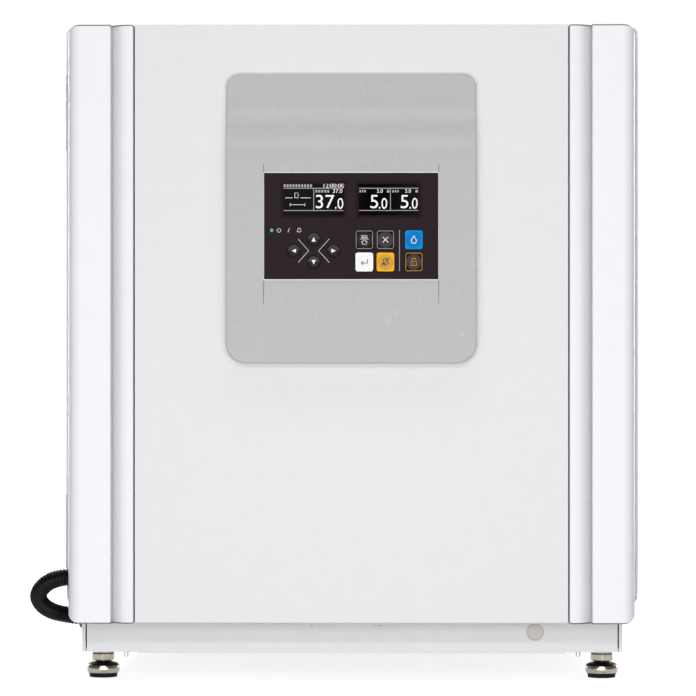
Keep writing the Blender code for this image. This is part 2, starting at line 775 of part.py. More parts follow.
def air_system():
    duct = tray(
        "fan_duct",
        (-DUCT_HALF, DUCT_FRONT, DUCT_Z[0]),
        (DUCT_HALF, CHAMBER_BACK - GAP, DUCT_Z[1]),
        "+Y",
        CHAMBER_SHEET,
        "stainless",
    )
    intake = rod(
        "intake", (0, DUCT_FRONT - 0.01, FAN_Z), (0, DUCT_FRONT + 0.01, FAN_Z), INTAKE_RADIUS, steps=20
    )
    combine(duct, intake, "DIFFERENCE")
    for column in range(6):
        x = OUTLET_X[0] + OUTLET_X[1] * column
        low, high = (x, DUCT_FRONT - 0.01, OUTLET_Z), (x + OUTLET_SIZE[0], DUCT_FRONT + 0.01, OUTLET_Z + OUTLET_SIZE[1])
        outlet = box("outlet", low, high)
        combine(duct, outlet, "DIFFERENCE")

    impeller()
    turned(
        "fan_motor",
        [
            (0, 0.0270),
            (0.0038, 0.0270),
            (0.0038, 0.0430),
            (MOTOR_RADIUS - 0.0040, 0.0430),
            (MOTOR_RADIUS, 0.0390),
            (MOTOR_RADIUS, 0),
            (0, 0),
        ],
        (0, MOTOR_BACK, FAN_Z),
        (0, -1, 0),
        "black_plastic",
        steps=20,
    )
    cap, tube = LAMP_RADII
    neck = LAMP_HALF - LAMP_CAP
    turned(
        "uv_lamp",
        [
            (0, LAMP_HALF),
            (cap, LAMP_HALF),
            (cap, neck),
            (tube, neck),
            (tube, -neck),
            (cap, -neck),
            (cap, -LAMP_HALF),
            (0, -LAMP_HALF),
        ],
        (0, DUCT_FRONT + 0.0140, LAMP_Z),
        (1, 0, 0),
        "glass",
        steps=12,
    )
    turned(
        "gas_sensor",
        [(0, 0), (0.0140, 0), (0.0140, -0.0160), (0.0100, -0.0200), (0.0100, -0.0380), (0, -0.0400)],
        (*SENSOR_PLACE, CHAMBER_CEILING - GAP),
        (0, 0, 1),
        "grey_plastic",
        steps=14,
    )


def impeller():
    blades, hub, tip, half_blade = 8, 0.0120, 0.0400, 0.0012
    outline = []
    for number in range(blades):
        turn = Matrix.Rotation(2 * math.pi * number / blades, 2)
        for radius, offset in ((hub, -half_blade), (tip, -half_blade), (tip, half_blade), (hub, half_blade)):
            outline.append(tuple(turn @ Vector((radius, offset))))
    disc = DUCT_FRONT + 0.0200
    rim, shaft, back, end = tip + 0.0015, 0.0030, 0.0020, 0.0230
    wheel = plate("fan_impeller", [outline], "Y", DUCT_FRONT + 0.0050, disc + 0.0005, "white_plastic")
    wheel.location = (0, 0, FAN_Z)
    profile = [(0, end), (shaft, end), (shaft, back), (rim, back), (rim, 0), (0, 0)]
    combine(wheel, turned("fan_shaft", profile, (0, disc, FAN_Z), (0, 1, 0)), "UNION")


# ---- Inner glass door ----


def inner_door():
    """The glass turns between the two ears of its rail."""
    low = CHAMBER_FLOOR - GLASS_MARGIN
    high = CHAMBER_CEILING + GLASS_MARGIN
    plate(
        "inner_door_glass",
        [
            rectangle((-GLASS_HALF, low), (GLASS_HALF, high), GLASS_CORNER),
            circle(LATCH, LATCH_SHAFT + 0.0004),
        ],
        "Y",
        GLASS_FRONT,
        GLASS_BACK,
        "glass",
    )
    width, outwards = RAIL_SIZE
    left = -GLASS_HALF - outwards
    rail = box(
        "inner_hinge_rail",
        (left, GLASS_BACK + 0.0010, low - EAR_SHEET),
        (left + width, CHAMBER_FRONT - GAP, high + EAR_SHEET),
        "stainless",
    )
    for bottom, top in ((low - EAR_SHEET, low - 2 * GAP), (high + 2 * GAP, high + EAR_SHEET)):
        ear = box("hinge_ear", (left, GLASS_FRONT - 0.0050, bottom), (left + 0.0110, GLASS_BACK + 0.0015, top))
        combine(rail, ear, "UNION")

    x, z = LATCH
    knob = turned(
        "inner_door_latch",
        [
            (0, 0.0080),
            (LATCH_KNOB - 0.0020, 0.0080),
            (LATCH_KNOB, 0.0065),
            (LATCH_KNOB, 0.0000),
            (LATCH_SHAFT, 0.0000),
            (LATCH_SHAFT, -0.0080),
            (0, -0.0080),
        ],
        (x, GLASS_FRONT - 0.0030, z),
        (0, -1, 0),
        "black_plastic",
        steps=14,
    )
    half, front = 0.0025, GLASS_FRONT - 0.0079
    finger = box("latch_finger", (x - half, front, z), (x + half, front + 0.0030, z + LATCH_REACH))
    combine(knob, finger, "UNION")
    hang(("inner_door_glass", "inner_door_latch"), "inner_door_axis", (*GLASS_HINGE, MID_HEIGHT))


# ---- Outer door ----


def trim_outline():
    """Section of the right-hand trim: rounded outer edge, flat face and the grip channel beside the skin."""
    inner = SKIN_HALF + 0.0006
    rear = DOOR_BACK - 0.0005
    back = PAN_FRONT - 0.0005
    outline = [(inner, back), (PAN_HALF + GAP, back), (PAN_HALF + GAP, rear), (DOOR_HALF, rear)]
    outline += arc((DOOR_HALF - TRIM_ROUNDING, DOOR_FRONT + TRIM_ROUNDING), TRIM_ROUNDING, 0, -90, 5)
    outline += arc((CHANNEL_EDGE + 0.0012, DOOR_FRONT + 0.0012), 0.0012, -90, -180, 2)
    face = DOOR_FRONT + 0.0006
    steps = 6
    for i in range(steps, -1, -1):
        share = i / steps
        outline.append((inner + (CHANNEL_EDGE - inner) * share, face + CHANNEL_DEPTH * share**3))
    return outline


def outer_door():
    corners = rectangle((-DOOR_HALF, DOOR_BOTTOM), (DOOR_HALF, DOOR_TOP), DOOR_CORNER, 3)
    silhouette = plate("door_silhouette", [corners], "Y", DOOR_FRONT - 0.01, DOOR_BACK + 0.01)
    right = trim_outline()
    left = [(-x, y) for x, y in reversed(right)]
    for name, outline in (("door_trim_left", left), ("door_trim_right", right)):
        trim = plate(name, [outline], "Z", DOOR_BOTTOM - 0.001, DOOR_TOP + 0.001, "white_plastic")
        combine(trim, silhouette, "INTERSECT")
    fold = PAN_FRONT - GAP
    front = DOOR_FRONT + SKIN_STEP
    inside = front + SHEET
    skin = [
        (fold, DOOR_BOTTOM),
        (fold, DOOR_BOTTOM + SHEET),
        (inside, DOOR_BOTTOM + SHEET),
        (inside, DOOR_TOP - SHEET),
        (fold, DOOR_TOP - SHEET),
        (fold, DOOR_TOP),
        (front, DOOR_TOP),
        (front, DOOR_BOTTOM),
    ]
    plate("door_skin", [skin], "X", -SKIN_HALF, SKIN_HALF, "white_paint")
    tray(
        "door_liner",
        (-PAN_HALF, PAN_FRONT, DOOR_BOTTOM),
        (PAN_HALF, DOOR_BACK, DOOR_TOP),
        "-Y",
        SHEET,
        "white_paint",
        corner=DOOR_CORNER,
    )
    inset = SHEET + PAN_INSET
    filling = rectangle(
        (-PAN_HALF + inset, DOOR_BOTTOM + inset), (PAN_HALF - inset, DOOR_TOP - inset), DOOR_CORNER - inset
    )
    plate("door_insulation", [filling], "Y", PAN_FRONT + GAP, DOOR_BACK - SHEET - GAP, "foam")
    rings = []
    for margin in GASKET_MARGINS:
        low = (-DOOR_HALF + margin, DOOR_BOTTOM + margin + GASKET_RISE)
        high = (DOOR_HALF - margin, DOOR_TOP - margin)
        rings.append(rectangle(low, high, 0.0100))
    plate("door_gasket", rings, "Y", DOOR_BACK + GAP, CABINET_FRONT - GAP, "grey_rubber")


def leaf_outline(side):
    """Section of a hinge leaf rolled round the pin: side is 1 on the cabinet and -1 on the door."""
    x, y = HINGE_AXIS
    reach = HINGE_BARREL - HINGE_LEAF
    meet = math.degrees(math.asin(reach / HINGE_BARREL))
    outline = [(HINGE_LEAF_END, y + reach), (HINGE_LEAF_END, y + HINGE_BARREL)]
    outline += arc((x, y), HINGE_BARREL, 90, 360 + meet, 9)
    if side > 0:
        return outline
    return [(u, 2 * y - v) for u, v in reversed(outline)]


def hinges():
    """Each hinge has a cabinet leaf with two knuckles and the pin, and a door leaf with the middle knuckle."""
    x, y = HINGE_AXIS
    far = HINGE_BARREL + 0.0010
    for name, (low, high) in zip(("hinge_lower", "hinge_upper"), HINGE_Z):
        first = low + (high - low) / 3
        second = high - (high - low) / 3
        leaf = plate(f"{name}_cabinet", [leaf_outline(1)], "Z", low, high, "white_paint")
        middle = box("middle_gap", (x - far, y - far, first - GAP), (x + far, y + far, second + GAP))
        combine(leaf, middle, "DIFFERENCE")
        pin = rod("hinge_pin", (x, y, low + 0.001), (x, y, high - 0.001), HINGE_PIN, steps=8)
        combine(leaf, pin, "UNION")

        bore = circle((x, y), HINGE_PIN + GAP, 8)
        leaf = plate(f"{name}_door", [leaf_outline(-1), bore], "Z", low, high, "white_paint")
        for bottom, top in ((low - 0.001, first), (second, high + 0.001)):
            end = box("end_gap", (x - far, y - far, bottom), (x + far, y + far, top))
            combine(leaf, end, "DIFFERENCE")


def control_unit():
    rear = DOOR_FRONT + SKIN_STEP - GAP
    low, high = HOUSING_STEP
    steps = 6
    side = [(rear, HOUSING_BOTTOM), (rear, HOUSING_TOP), (HOUSING_UPPER_FACE, HOUSING_TOP)]
    for i in range(steps + 1):
        share = (1 - math.cos(math.pi * i / steps)) / 2
        face = HOUSING_UPPER_FACE + (HOUSING_FACE - HOUSING_UPPER_FACE) * share
        side.append((face, high + (low - high) * i / steps))
    side.append((HOUSING_FACE, HOUSING_BOTTOM))
    housing = plate("control_housing", [side], "X", -HOUSING_HALF, HOUSING_HALF, "grey_plastic")
    corners = rectangle(
        (-HOUSING_HALF, HOUSING_BOTTOM), (HOUSING_HALF, HOUSING_TOP), HOUSING_CORNERS[0], 4, HOUSING_CORNERS[1]
    )
    silhouette = plate("housing_silhouette", [corners], "Y", HOUSING_FACE - 0.01, rear + 0.01)
    combine(housing, silhouette, "INTERSECT")
    floor = HOUSING_BOTTOM + HOUSING_LEDGE
    hollow = [
        (rear + 0.001, floor),
        (rear + 0.001, HOUSING_TOP - HOUSING_WALL),
        (HOUSING_UPPER_FACE + HOUSING_WALL, HOUSING_TOP - HOUSING_WALL),
        (HOUSING_UPPER_FACE + HOUSING_WALL, high),
        (RECESS_FLOOR + 0.0015, low),
        (RECESS_FLOOR + 0.0015, floor),
    ]
    inner_half = HOUSING_HALF - HOUSING_LEDGE
    combine(housing, plate("housing_hollow", [hollow], "X", -inner_half, inner_half), "DIFFERENCE")
    recess = [
        (HOUSING_FACE - 0.001, RECESS_Z[0]),
        (HOUSING_FACE, RECESS_Z[0]),
        (RECESS_FLOOR, OVERLAY_Z[0] - GAP),
        (RECESS_FLOOR, OVERLAY_Z[1] + GAP),
        (HOUSING_FACE, RECESS_Z[1]),
        (HOUSING_FACE - 0.001, RECESS_Z[1]),
    ]
    recess_half = OVERLAY_HALF + GAP
    combine(housing, plate("recess", [recess], "X", -recess_half, recess_half), "DIFFERENCE")
    window = box(
        "housing_window",
        (OVERLAY_LEDGE - OVERLAY_HALF, HOUSING_FACE - 0.01, OVERLAY_Z[0] + OVERLAY_LEDGE),
        (OVERLAY_HALF - OVERLAY_LEDGE, RECESS_FLOOR + 0.004, OVERLAY_Z[1] - OVERLAY_LEDGE),
    )
    combine(housing, window, "DIFFERENCE")
    overlay_and_screens()
    keys()


def overlay_and_screens():
    outlines = [rectangle((-OVERLAY_HALF, OVERLAY_Z[0]), (OVERLAY_HALF, OVERLAY_Z[1]))]
    outlines += [screen_outline(x, KEY_CLEARANCE) for x in SCREEN_X]
    outlines += [circle(centre, ARROW_RADIUS + KEY_CLEARANCE) for _, centre in arrow_keys()]
    outlines += [square_outline(centre, KEY_CLEARANCE) for _, centre, _ in square_keys()]
    plate("control_overlay", outlines, "Y", OVERLAY_FRONT, OVERLAY_BACK, "dark_plastic")

    (left, bottom), (right, top) = BOARD
    board = box(
        "display_module", (left, BOARD_BACK - BOARD_SHEET, bottom), (right, BOARD_BACK, top), "black_plastic"
    )
    for x in SCREEN_X:
        screen = plate("screen", [screen_outline(x, 0)], "Y", OVERLAY_FRONT + 0.0003, BOARD_BACK - 0.0010)
        combine(board, screen, "UNION")


def keys():
    rise = KEY_BACK - KEY_FRONT
    for name, (x, z) in arrow_keys():
        turned(
            name,
            [
                (0, rise),
                (ARROW_RADIUS - 0.0015, rise - 0.0002),
                (ARROW_RADIUS, rise - 0.0007),
                (ARROW_RADIUS, 0),
                (0, 0),
            ],
            (x, KEY_BACK, z),
            (0, -1, 0),
            "dark_plastic",
            steps=12,
        )
    for name, centre, finish in square_keys():
        plate(name, [square_outline(centre, 0)], "Y", KEY_FRONT, KEY_BACK, finish)


def screen_outline(x, grow):
    half_x, half_z = SCREEN_SIZE[0] / 2 + grow, SCREEN_SIZE[1] / 2 + grow
    return rectangle((x - half_x, SCREEN_Z - half_z), (x + half_x, SCREEN_Z + half_z))


def arrow_keys():
    x, z = ARROW_CENTRE
    for name, across, up in (("up", 0, 1), ("down", 0, -1), ("left", -1, 0), ("right", 1, 0)):
        yield f"key_{name}", (x + across * ARROW_REACH[0], z + up * ARROW_REACH[1])


def square_keys():
    names = (("menu", "cancel", "disinfect"), ("enter", "buzzer", "unlock"))
    finishes = {"disinfect": "blue_key", "enter": "white_key", "buzzer": "amber_key"}
    for row, z in zip(names, SQUARE_Z):
        for name, x in zip(row, SQUARE_X):
            yield f"key_{name}", (x, z), finishes.get(name, "dark_plastic")


def square_outline(centre, grow):
    half_x, half_z = SQUARE_KEY[0] / 2 + grow, SQUARE_KEY[1] / 2 + grow
    (x, z), corner = centre, SQUARE_CORNER + grow
    return rectangle((x - half_x, z - half_z), (x + half_x, z + half_z), corner)


# ---- Lock and conduit ----


def lock():
    """A strike plate under the door, and the pin that rises into its hole."""
    x, y = LOCK
    front, back = STRIKE_Y
    behind = DOOR_BACK - 0.0020
    outline = [
        (x - STRIKE_BAR, front),
        (x + STRIKE_BAR, front),
        (x + STRIKE_BAR, behind),
        (x + STRIKE_TONGUE, behind),
        (x + STRIKE_TONGUE, back),
        (x - STRIKE_TONGUE, back),
        (x - STRIKE_TONGUE, behind),
        (x - STRIKE_BAR, behind),
    ]
    plate("lock_strike", [outline, circle(LOCK, STRIKE_HOLE, 10)], "Z", *STRIKE_Z, "stainless")
    radius, bottom = LOCK_PIN
    rod("door_lock_pin", (x, y, bottom), (x, y, STRIKE_Z[0] - 0.0015), radius, "stainless", steps=10)


def smooth_route(points, steps):
    """Points on a smooth curve through the given ones."""
    points = [Vector(p) for p in points]
    ends = [2 * points[0] - points[1], *points, 2 * points[-1] - points[-2]]
    route = []
    for before, start, end, after in zip(ends, ends[1:], ends[2:], ends[3:]):
        for i in range(steps):
            t = i / steps
            route.append(
                0.5
                * (
                    2 * start
                    + (end - before) * t
                    + (2 * before - 5 * start + 4 * end - after) * t**2
                    + (3 * start - before - 3 * end + after) * t**3
                )
            )
    return [*route, points[-1]]


def conduit():
    """The wires between cabinet and door run in a corrugated conduit."""
    turned(
        "conduit_gland",
        [(0, 0.0033), (0.0096, 0.0033), (0.0100, 0.0015), (0.0120, 0.0015), (0.0120, 0), (0, 0)],
        (-PLINTH_HALF - GAP, GLAND_Y, GLAND_Z),
        (-1, 0, 0),
        "black_plastic",
    )
    curve = bpy.data.curves.new("door_conduit", "CURVE")
    curve.dimensions = "3D"
    curve.bevel_depth = CONDUIT_RADIUS
    curve.bevel_resolution = 2
    curve.use_fill_caps = True
    route = smooth_route(CONDUIT_ROUTE, 2)
    spline = curve.splines.new("POLY")
    spline.points.add(len(route) - 1)
    for point, place in zip(spline.points, route):
        point.co = (*place, 1)
    obj = bpy.data.objects.new("door_conduit", curve)
    PARTS.objects.link(obj)
    paint(obj, "black_plastic")


cabinet()
plinth()
feet()
rear_fittings()
chamber()
shelf_racks()
shelves()
air_system()
inner_door()
outer_door()
hinges()
control_unit()
lock()
conduit()
on_door = ("skin", "trim_left", "trim_right", "liner", "insulation", "gasket", "conduit")
door_pieces = [f"door_{piece}" for piece in on_door]
door_pieces += ["hinge_lower_door", "hinge_upper_door", "control_housing", "control_overlay", "display_module"]
door_pieces += ["lock_strike", *(name for name, _ in arrow_keys()), *(key[0] for key in square_keys())]
hang(door_pieces, "outer_door_axis", (*HINGE_AXIS, MID_HEIGHT))
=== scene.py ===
"""Benchtop laboratory CO2 incubator, seen from the front. Metres, +Z up; the doors face -Y."""

from math import asin, copysign, cos, degrees, pi, radians, sin, sqrt, tau

import bmesh
import bpy
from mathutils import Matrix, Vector


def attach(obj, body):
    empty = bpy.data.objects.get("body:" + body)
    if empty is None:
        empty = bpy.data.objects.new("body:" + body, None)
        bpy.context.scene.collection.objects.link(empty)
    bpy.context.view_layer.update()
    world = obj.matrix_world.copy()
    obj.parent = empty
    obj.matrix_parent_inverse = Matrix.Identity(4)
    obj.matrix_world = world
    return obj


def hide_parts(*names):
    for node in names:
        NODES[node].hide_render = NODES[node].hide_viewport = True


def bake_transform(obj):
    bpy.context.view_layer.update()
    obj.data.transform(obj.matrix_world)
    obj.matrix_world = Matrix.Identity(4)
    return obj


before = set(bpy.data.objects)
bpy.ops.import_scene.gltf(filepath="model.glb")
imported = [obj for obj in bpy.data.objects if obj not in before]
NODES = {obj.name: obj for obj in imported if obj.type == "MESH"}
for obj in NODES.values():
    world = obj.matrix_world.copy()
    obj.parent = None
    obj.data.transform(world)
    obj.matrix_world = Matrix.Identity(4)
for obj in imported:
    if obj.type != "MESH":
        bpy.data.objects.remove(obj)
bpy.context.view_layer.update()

DOOR, CASE = "outer_door", "cabinet"  # the two bodies that most pieces ride on

FRONTWARD, BACKWARD, UP, DOWN = (0, -1, 0), (0, 1, 0), (0, 0, 1), (0, 0, -1)

# Door
DOOR_HALF = 0.234
DOOR_FRONT = -0.262
DOOR_BACK = -0.2195
DOOR_Z = (0.0505, 0.544)
DOOR_CORNER = 0.0095
SKIN_HALF = 0.1783
CHANNEL_EDGE = 0.1983
CHANNEL_DEPTH = 0.0105
GASKET_RISE = 0.0065  # how much further the seal stays from the door's lower end
STRIKE_Z = (0.0488, 0.0502)
PAN_HALF = 0.23
PAN_FRONT = -0.248

# Control unit
HOUSING_HALF = 0.1024
HOUSING_Z = (0.2654, 0.5023)
HOUSING_FACE = -0.274
HOUSING_UPPER_FACE = -0.269
HOUSING_STEP = (0.43, 0.484)
OVERLAY_HALF = 0.0713
OVERLAY_Z = (0.3342, 0.4211)
OVERLAY_FRONT = -0.2732
RECESS_FLOOR = -0.2722
RECESS_Z = (0.3121, 0.4293)
SCREEN_X = (-0.03085, 0.03085)
SCREEN_Z = 0.3993
SCREEN_SIZE = (0.0513, 0.0276)
KEY_FRONT = -0.2737
KEY_BACK = -0.269
ARROWS = {
    "up": (-0.0307, 0.3668),
    "down": (-0.0307, 0.348),
    "left": (-0.04695, 0.3574),
    "right": (-0.01445, 0.3574),
}
SQUARES = {
    "menu": (0.0108, 0.3664),
    "cancel": (0.0281, 0.3664),
    "disinfect": (0.0514, 0.3664),
    "enter": (0.0108, 0.3482),
    "buzzer": (0.0281, 0.3482),
    "unlock": (0.0514, 0.3482),
}
SQUARE_SIZE = (0.0144, 0.0154)
FILM = 0.00004  # half the thickness of a print
INK = KEY_FRONT - 0.00042  # front of what is printed on a key's dome

# Chamber and conduit
FAN_Z = 0.405
SHELF_HEIGHTS = (0.205, 0.295, 0.385)
CONDUIT_RADIUS = 0.00715
CONDUIT_ROUTE = (
    (-0.2308, -0.19, 0.0512),
    (-0.235, -0.1901, 0.0513),
    (-0.243, -0.193, 0.053),
    (-0.251, -0.197, 0.0552),
    (-0.2575, -0.203, 0.0592),
    (-0.2615, -0.21, 0.0645),
    (-0.2625, -0.217, 0.07),
    (-0.26, -0.224, 0.0758),
    (-0.2545, -0.2295, 0.0812),
    (-0.248, -0.233, 0.0846),
    (-0.24, -0.2353, 0.0865),
    (-0.2346, -0.2354, 0.0868),
)


# ---- Materials ----


def linear(colour):
    """A scene colour from 0-255 display values."""
    return [((c / 255 + 0.055) / 1.055) ** 2.4 if c > 10 else c / 255 / 12.92 for c in colour]


def add(tree, kind, **values):
    """A new node with the values of its inputs."""
    node = tree.nodes.new("ShaderNode" + kind)
    for name, value in values.items():
        node.inputs[name.replace("_", " ")].default_value = value
    return node


def relief(tree, vector, scale, detail, strength):
    """A fine texture from noise, on the shader's normal."""
    grain = add(tree, "TexNoise", Scale=scale, Detail=detail)
    height = add(tree, "Bump", Strength=strength, Distance=0.0003)
    tree.links.new(vector, grain.inputs["Vector"])
    tree.links.new(grain.outputs["Fac"], height.inputs["Height"])
    tree.links.new(height.outputs["Normal"], tree.nodes["Principled BSDF"].inputs["Normal"])


def material(name, slot, colour, roughness, metallic=0, spread=0.04, scale=60, bump=0, fine=900, **more):
    """A finish whose display colour and roughness vary a little, with a fine surface texture."""
    made = bpy.data.materials.new(name)
    made.use_nodes = True
    tree = made.node_tree
    shader = tree.nodes["Principled BSDF"]
    more["Specular_IOR_Level"] = more.pop("gloss", 0.5)
    for socket, value in dict(more, Metallic=metallic).items():
        shader.inputs[socket.replace("_", " ")].default_value = value
    place = add(tree, "TexCoord").outputs["Object"]
    noise = add(tree, "TexNoise", Scale=scale, Detail=4)
    ramp = add(tree, "ValToRGB")
    for stop, position, change in zip(ramp.color_ramp.elements, (0.3, 0.7), (-spread, spread)):
        stop.position = position
        stop.color = (*(min(1.0, max(0.0, c * (1 + change))) for c in linear(colour)), 1)
    rough = add(tree, "MapRange", To_Min=max(0.0, roughness - 0.05), To_Max=min(1.0, roughness + 0.05))
    tree.links.new(place, noise.inputs["Vector"])
    tree.links.new(noise.outputs["Fac"], ramp.inputs["Fac"])
    tree.links.new(noise.outputs["Fac"], rough.inputs["Value"])
    tree.links.new(ramp.outputs["Color"], shader.inputs["Base Color"])
    tree.links.new(rough.outputs["Result"], shader.inputs["Roughness"])
    if bump:
        relief(tree, place, fine, 3, bump)
    return made


def brushed(name, colour, roughness, stretch):
    """Metal with fine lines along one axis."""
    made = material(name, "stainless", colour, roughness, 1.0, 0.05, 25.0)
    tree = made.node_tree
    mapping = add(tree, "Mapping", Scale=stretch)
    tree.links.new(tree.nodes["Texture Coordinate"].outputs["Object"], mapping.inputs["Vector"])
    relief(tree, mapping.outputs["Vector"], 40, 6, 0.12)
    return made


def painted_channel_shade(made):
    """Paints shade into a trim's colour across its grip channel, darker towards the step: painted shade in
    place of the channel's shading.
    """
    tree = made.node_tree
    base = tree.nodes["Principled BSDF"].inputs["Base Color"]
    colour = base.links[0].from_socket
    parts = add(tree, "SeparateXYZ")
    tree.links.new(tree.nodes["Texture Coordinate"].outputs["Object"], parts.inputs["Vector"])
    distance = add(tree, "Math")
    distance.operation = "ABSOLUTE"
    tree.links.new(parts.outputs["X"], distance.inputs[0])
    share = add(tree, "MapRange", From_Min=SKIN_HALF, From_Max=CHANNEL_EDGE)
    tree.links.new(distance.outputs["Value"], share.inputs["Value"])
    ramp = add(tree, "ValToRGB")
    # Colour factors across the channel: painted shade, falling to about two thirds near the step.
    stops = ((0.0, 1.0), (0.5, 1.0), (0.7, 0.84), (0.92, 0.7), (0.98, 0.66), (1.0, 1.0))
    for number, (position, level) in enumerate(stops):
        stop = ramp.color_ramp.elements[number] if number < 2 else ramp.color_ramp.elements.new(position)
        stop.position = position
        stop.color = (level, level, level, 1)
    tree.links.new(share.outputs["Result"], ramp.inputs["Fac"])
    mixed = add(tree, "Mix", Factor=1.0)
    mixed.data_type = "RGBA"
    mixed.blend_type = "MULTIPLY"
    tree.links.new(colour, mixed.inputs[6])
    tree.links.new(ramp.outputs["Color"], mixed.inputs[7])
    tree.links.new(mixed.outputs[2], base)
    return made


WHITE_PAINT = material(
    "white paint", "white_paint", (230, 230, 232), 0.42, spread=0.01, bump=0.05,
    gloss=0.3,
)
# White trim colour, with painted shade across the grip channel.
TRIM_WHITE_PAINTED_SHADE = painted_channel_shade(material(
    "trim white, painted channel shade", "white_plastic", (245, 244, 249), 0.45, spread=0.01, bump=0.02,
    gloss=0.3,
))
# Dark grey for thin lines of painted shade: the gaps round the trims and the recess's side walls.
SHADOW_LINE_GREY = material("shadow line grey", "grey_plastic", (112, 106, 114), 0.5, spread=0.04)
HOUSING_GREY = material(
    "housing grey", "grey_plastic", (168, 168, 168), 0.26, spread=0.012, bump=0.02, fine=1800.0,
    gloss=0.45,
)
# Light grey for the frame round the overlay: painted highlight.
PAINTED_HIGHLIGHT_GREY = material("painted highlight grey", "grey_plastic", (214, 214, 216), 0.3, spread=0.012)
OVERLAY_DARK = material(
    "overlay film", "dark_plastic", (44, 35, 40), 0.45, spread=0.03, bump=0.03,
    gloss=0.02,
)
KEY_DARK = material(
    "dark key", "dark_plastic", (22, 15, 20), 0.3, spread=0.05, gloss=0.02,
)
DOME_DARK = material(
    "dark dome", "dark_plastic", (42, 36, 40), 0.35, spread=0.05, gloss=0.05,
)
# Lighter copy of the dark key colour: painted highlight on the arrow domes' upper halves and on the cancel
# and unlock domes.
PAINTED_HIGHLIGHT_DARK = material(
    "dark dome, painted highlight", "dark_plastic", (68, 64, 68), 0.3, spread=0.05, gloss=0.02,
)
SCREEN_BLACK = material("screen", "black_plastic", (1, 1, 1), 0.08, spread=0.1, gloss=0.02)
SCREEN_RIM = material(
    "screen rim", "black_plastic", (40, 22, 24), 0.3, spread=0.1, gloss=0.02,
)
PRINT_WHITE = material("print white", "white_key", (250, 250, 250), 0.5, spread=0.01)
PRINT_GREY = material("print grey", "grey_plastic", (165, 162, 165), 0.5, spread=0.02)
PRINT_DARK = material("print dark", "white_key", (60, 55, 58), 0.5, spread=0.02)
PRINT_AMBER = material("print amber", "white_key", (214, 148, 30), 0.5, spread=0.02)
KEY_BLUE = material("blue key", "blue_key", (0, 142, 224), 0.32, spread=0.02, gloss=0.02)
# Darker copy of the blue key colour for its dome: painted shade.
PAINTED_SHADE_BLUE = material(
    "blue dome, painted shade", "blue_key", (14, 124, 198), 0.32, spread=0.02, gloss=0.02,
)
KEY_WHITE = material("white key", "white_key", (252, 252, 252), 0.32, spread=0.005)
# Darker copy of the white key colour for its dome: painted shade.
PAINTED_SHADE_WHITE = material("white dome, painted shade", "white_key", (236, 236, 238), 0.32, spread=0.01)
KEY_AMBER = material(
    "amber key", "amber_key", (250, 182, 38), 0.32, spread=0.02, gloss=0.02,
)
# Darker copy of the amber key colour for its dome: painted shade.
PAINTED_SHADE_AMBER = material(
    "amber dome, painted shade", "amber_key", (214, 164, 66), 0.32, spread=0.02, gloss=0.02,
)
GREEN_LIGHT = material("status light", "grey_plastic", (90, 210, 110), 0.3, spread=0.05)
BLACK_PLASTIC = material("black plastic", "black_plastic", (22, 22, 24), 0.45, spread=0.15, bump=0.15)
CONDUIT_BLACK = material(
    "conduit", "black_plastic", (7, 6, 10), 0.38, spread=0.12, bump=0.05, gloss=0.12,
)
BLACK_RUBBER = material(
    "black rubber", "black_plastic", (16, 15, 16), 0.7, spread=0.1, bump=0.3, gloss=0.15,
)
GREY_RUBBER = material("grey rubber", "grey_rubber", (140, 142, 146), 0.65, spread=0.05, bump=0.2)
PLUG_GREY = material("plinth plug", "grey_plastic", (206, 200, 197), 0.5, spread=0.02, bump=0.1)
STAINLESS = brushed("stainless", (166, 166, 164), 0.3, (1, 1, 18))
STAINLESS_FLAT = brushed("stainless sheet", (166, 166, 164), 0.3, (1, 18, 18))
ZINC = material("zinc", "zinc", (164, 158, 147), 0.16, 1.0, 0.14, 220.0, bump=0.08)
HINGE_GREY = material("hinge grey", "zinc", (218, 224, 226), 0.4, spread=0.04, bump=0.1)
STEEL = material("plated steel", "zinc", (190, 188, 182), 0.28, 1.0, 0.08, 120.0, bump=0.1)
SATIN_STEEL = material("satin steel", "stainless", (150, 147, 147), 0.5, 1.0, 0.05, 120.0)
# Darkened copy of steel: painted shade in screw recesses and a painted dark reflection on the feet.
PAINTED_SHADE_STEEL = material("steel, painted shade", "zinc", (52, 48, 46), 0.32, 1.0, 0.15, 120.0)
BRASS = material("brass", "brass", (212, 176, 96), 0.28, 1.0, 0.06, 90.0, bump=0.1)
FOAM = material("foam", "foam", (222, 212, 172), 0.9, spread=0.1, scale=300.0, bump=0.6)
WHITE_PLASTIC = material(
    "white plastic", "white_plastic", (232, 232, 232), 0.42, spread=0.015, bump=0.1,
)
GREY_PLASTIC = material("grey plastic", "grey_plastic", (170, 170, 170), 0.45, spread=0.03, bump=0.1)
GLASS = material(
    "glass", "glass", (243.4, 251.6, 249.3), 0.03, spread=0.01, Transmission_Weight=1.0, IOR=1.5,
    gloss=0.5,
)
LAMP_GLASS = material("lamp glass", "glass", (225, 232, 240), 0.12, spread=0.02, Coat_Weight=0.4)


# ---- Shapes ----


def arc(centre, radius, start, end, steps):
    angles = [radians(start + (end - start) * i / steps) for i in range(steps + 1)]
    return [(centre[0] + radius * cos(a), centre[1] + radius * sin(a)) for a in angles]


def mm(*points):
    """Points given in millimetres."""
    return [(u / 1000, v / 1000) for u, v in points]


def circle(centre, radius, steps=48):
    return arc(centre, radius, 0, 360, steps)[:-1]


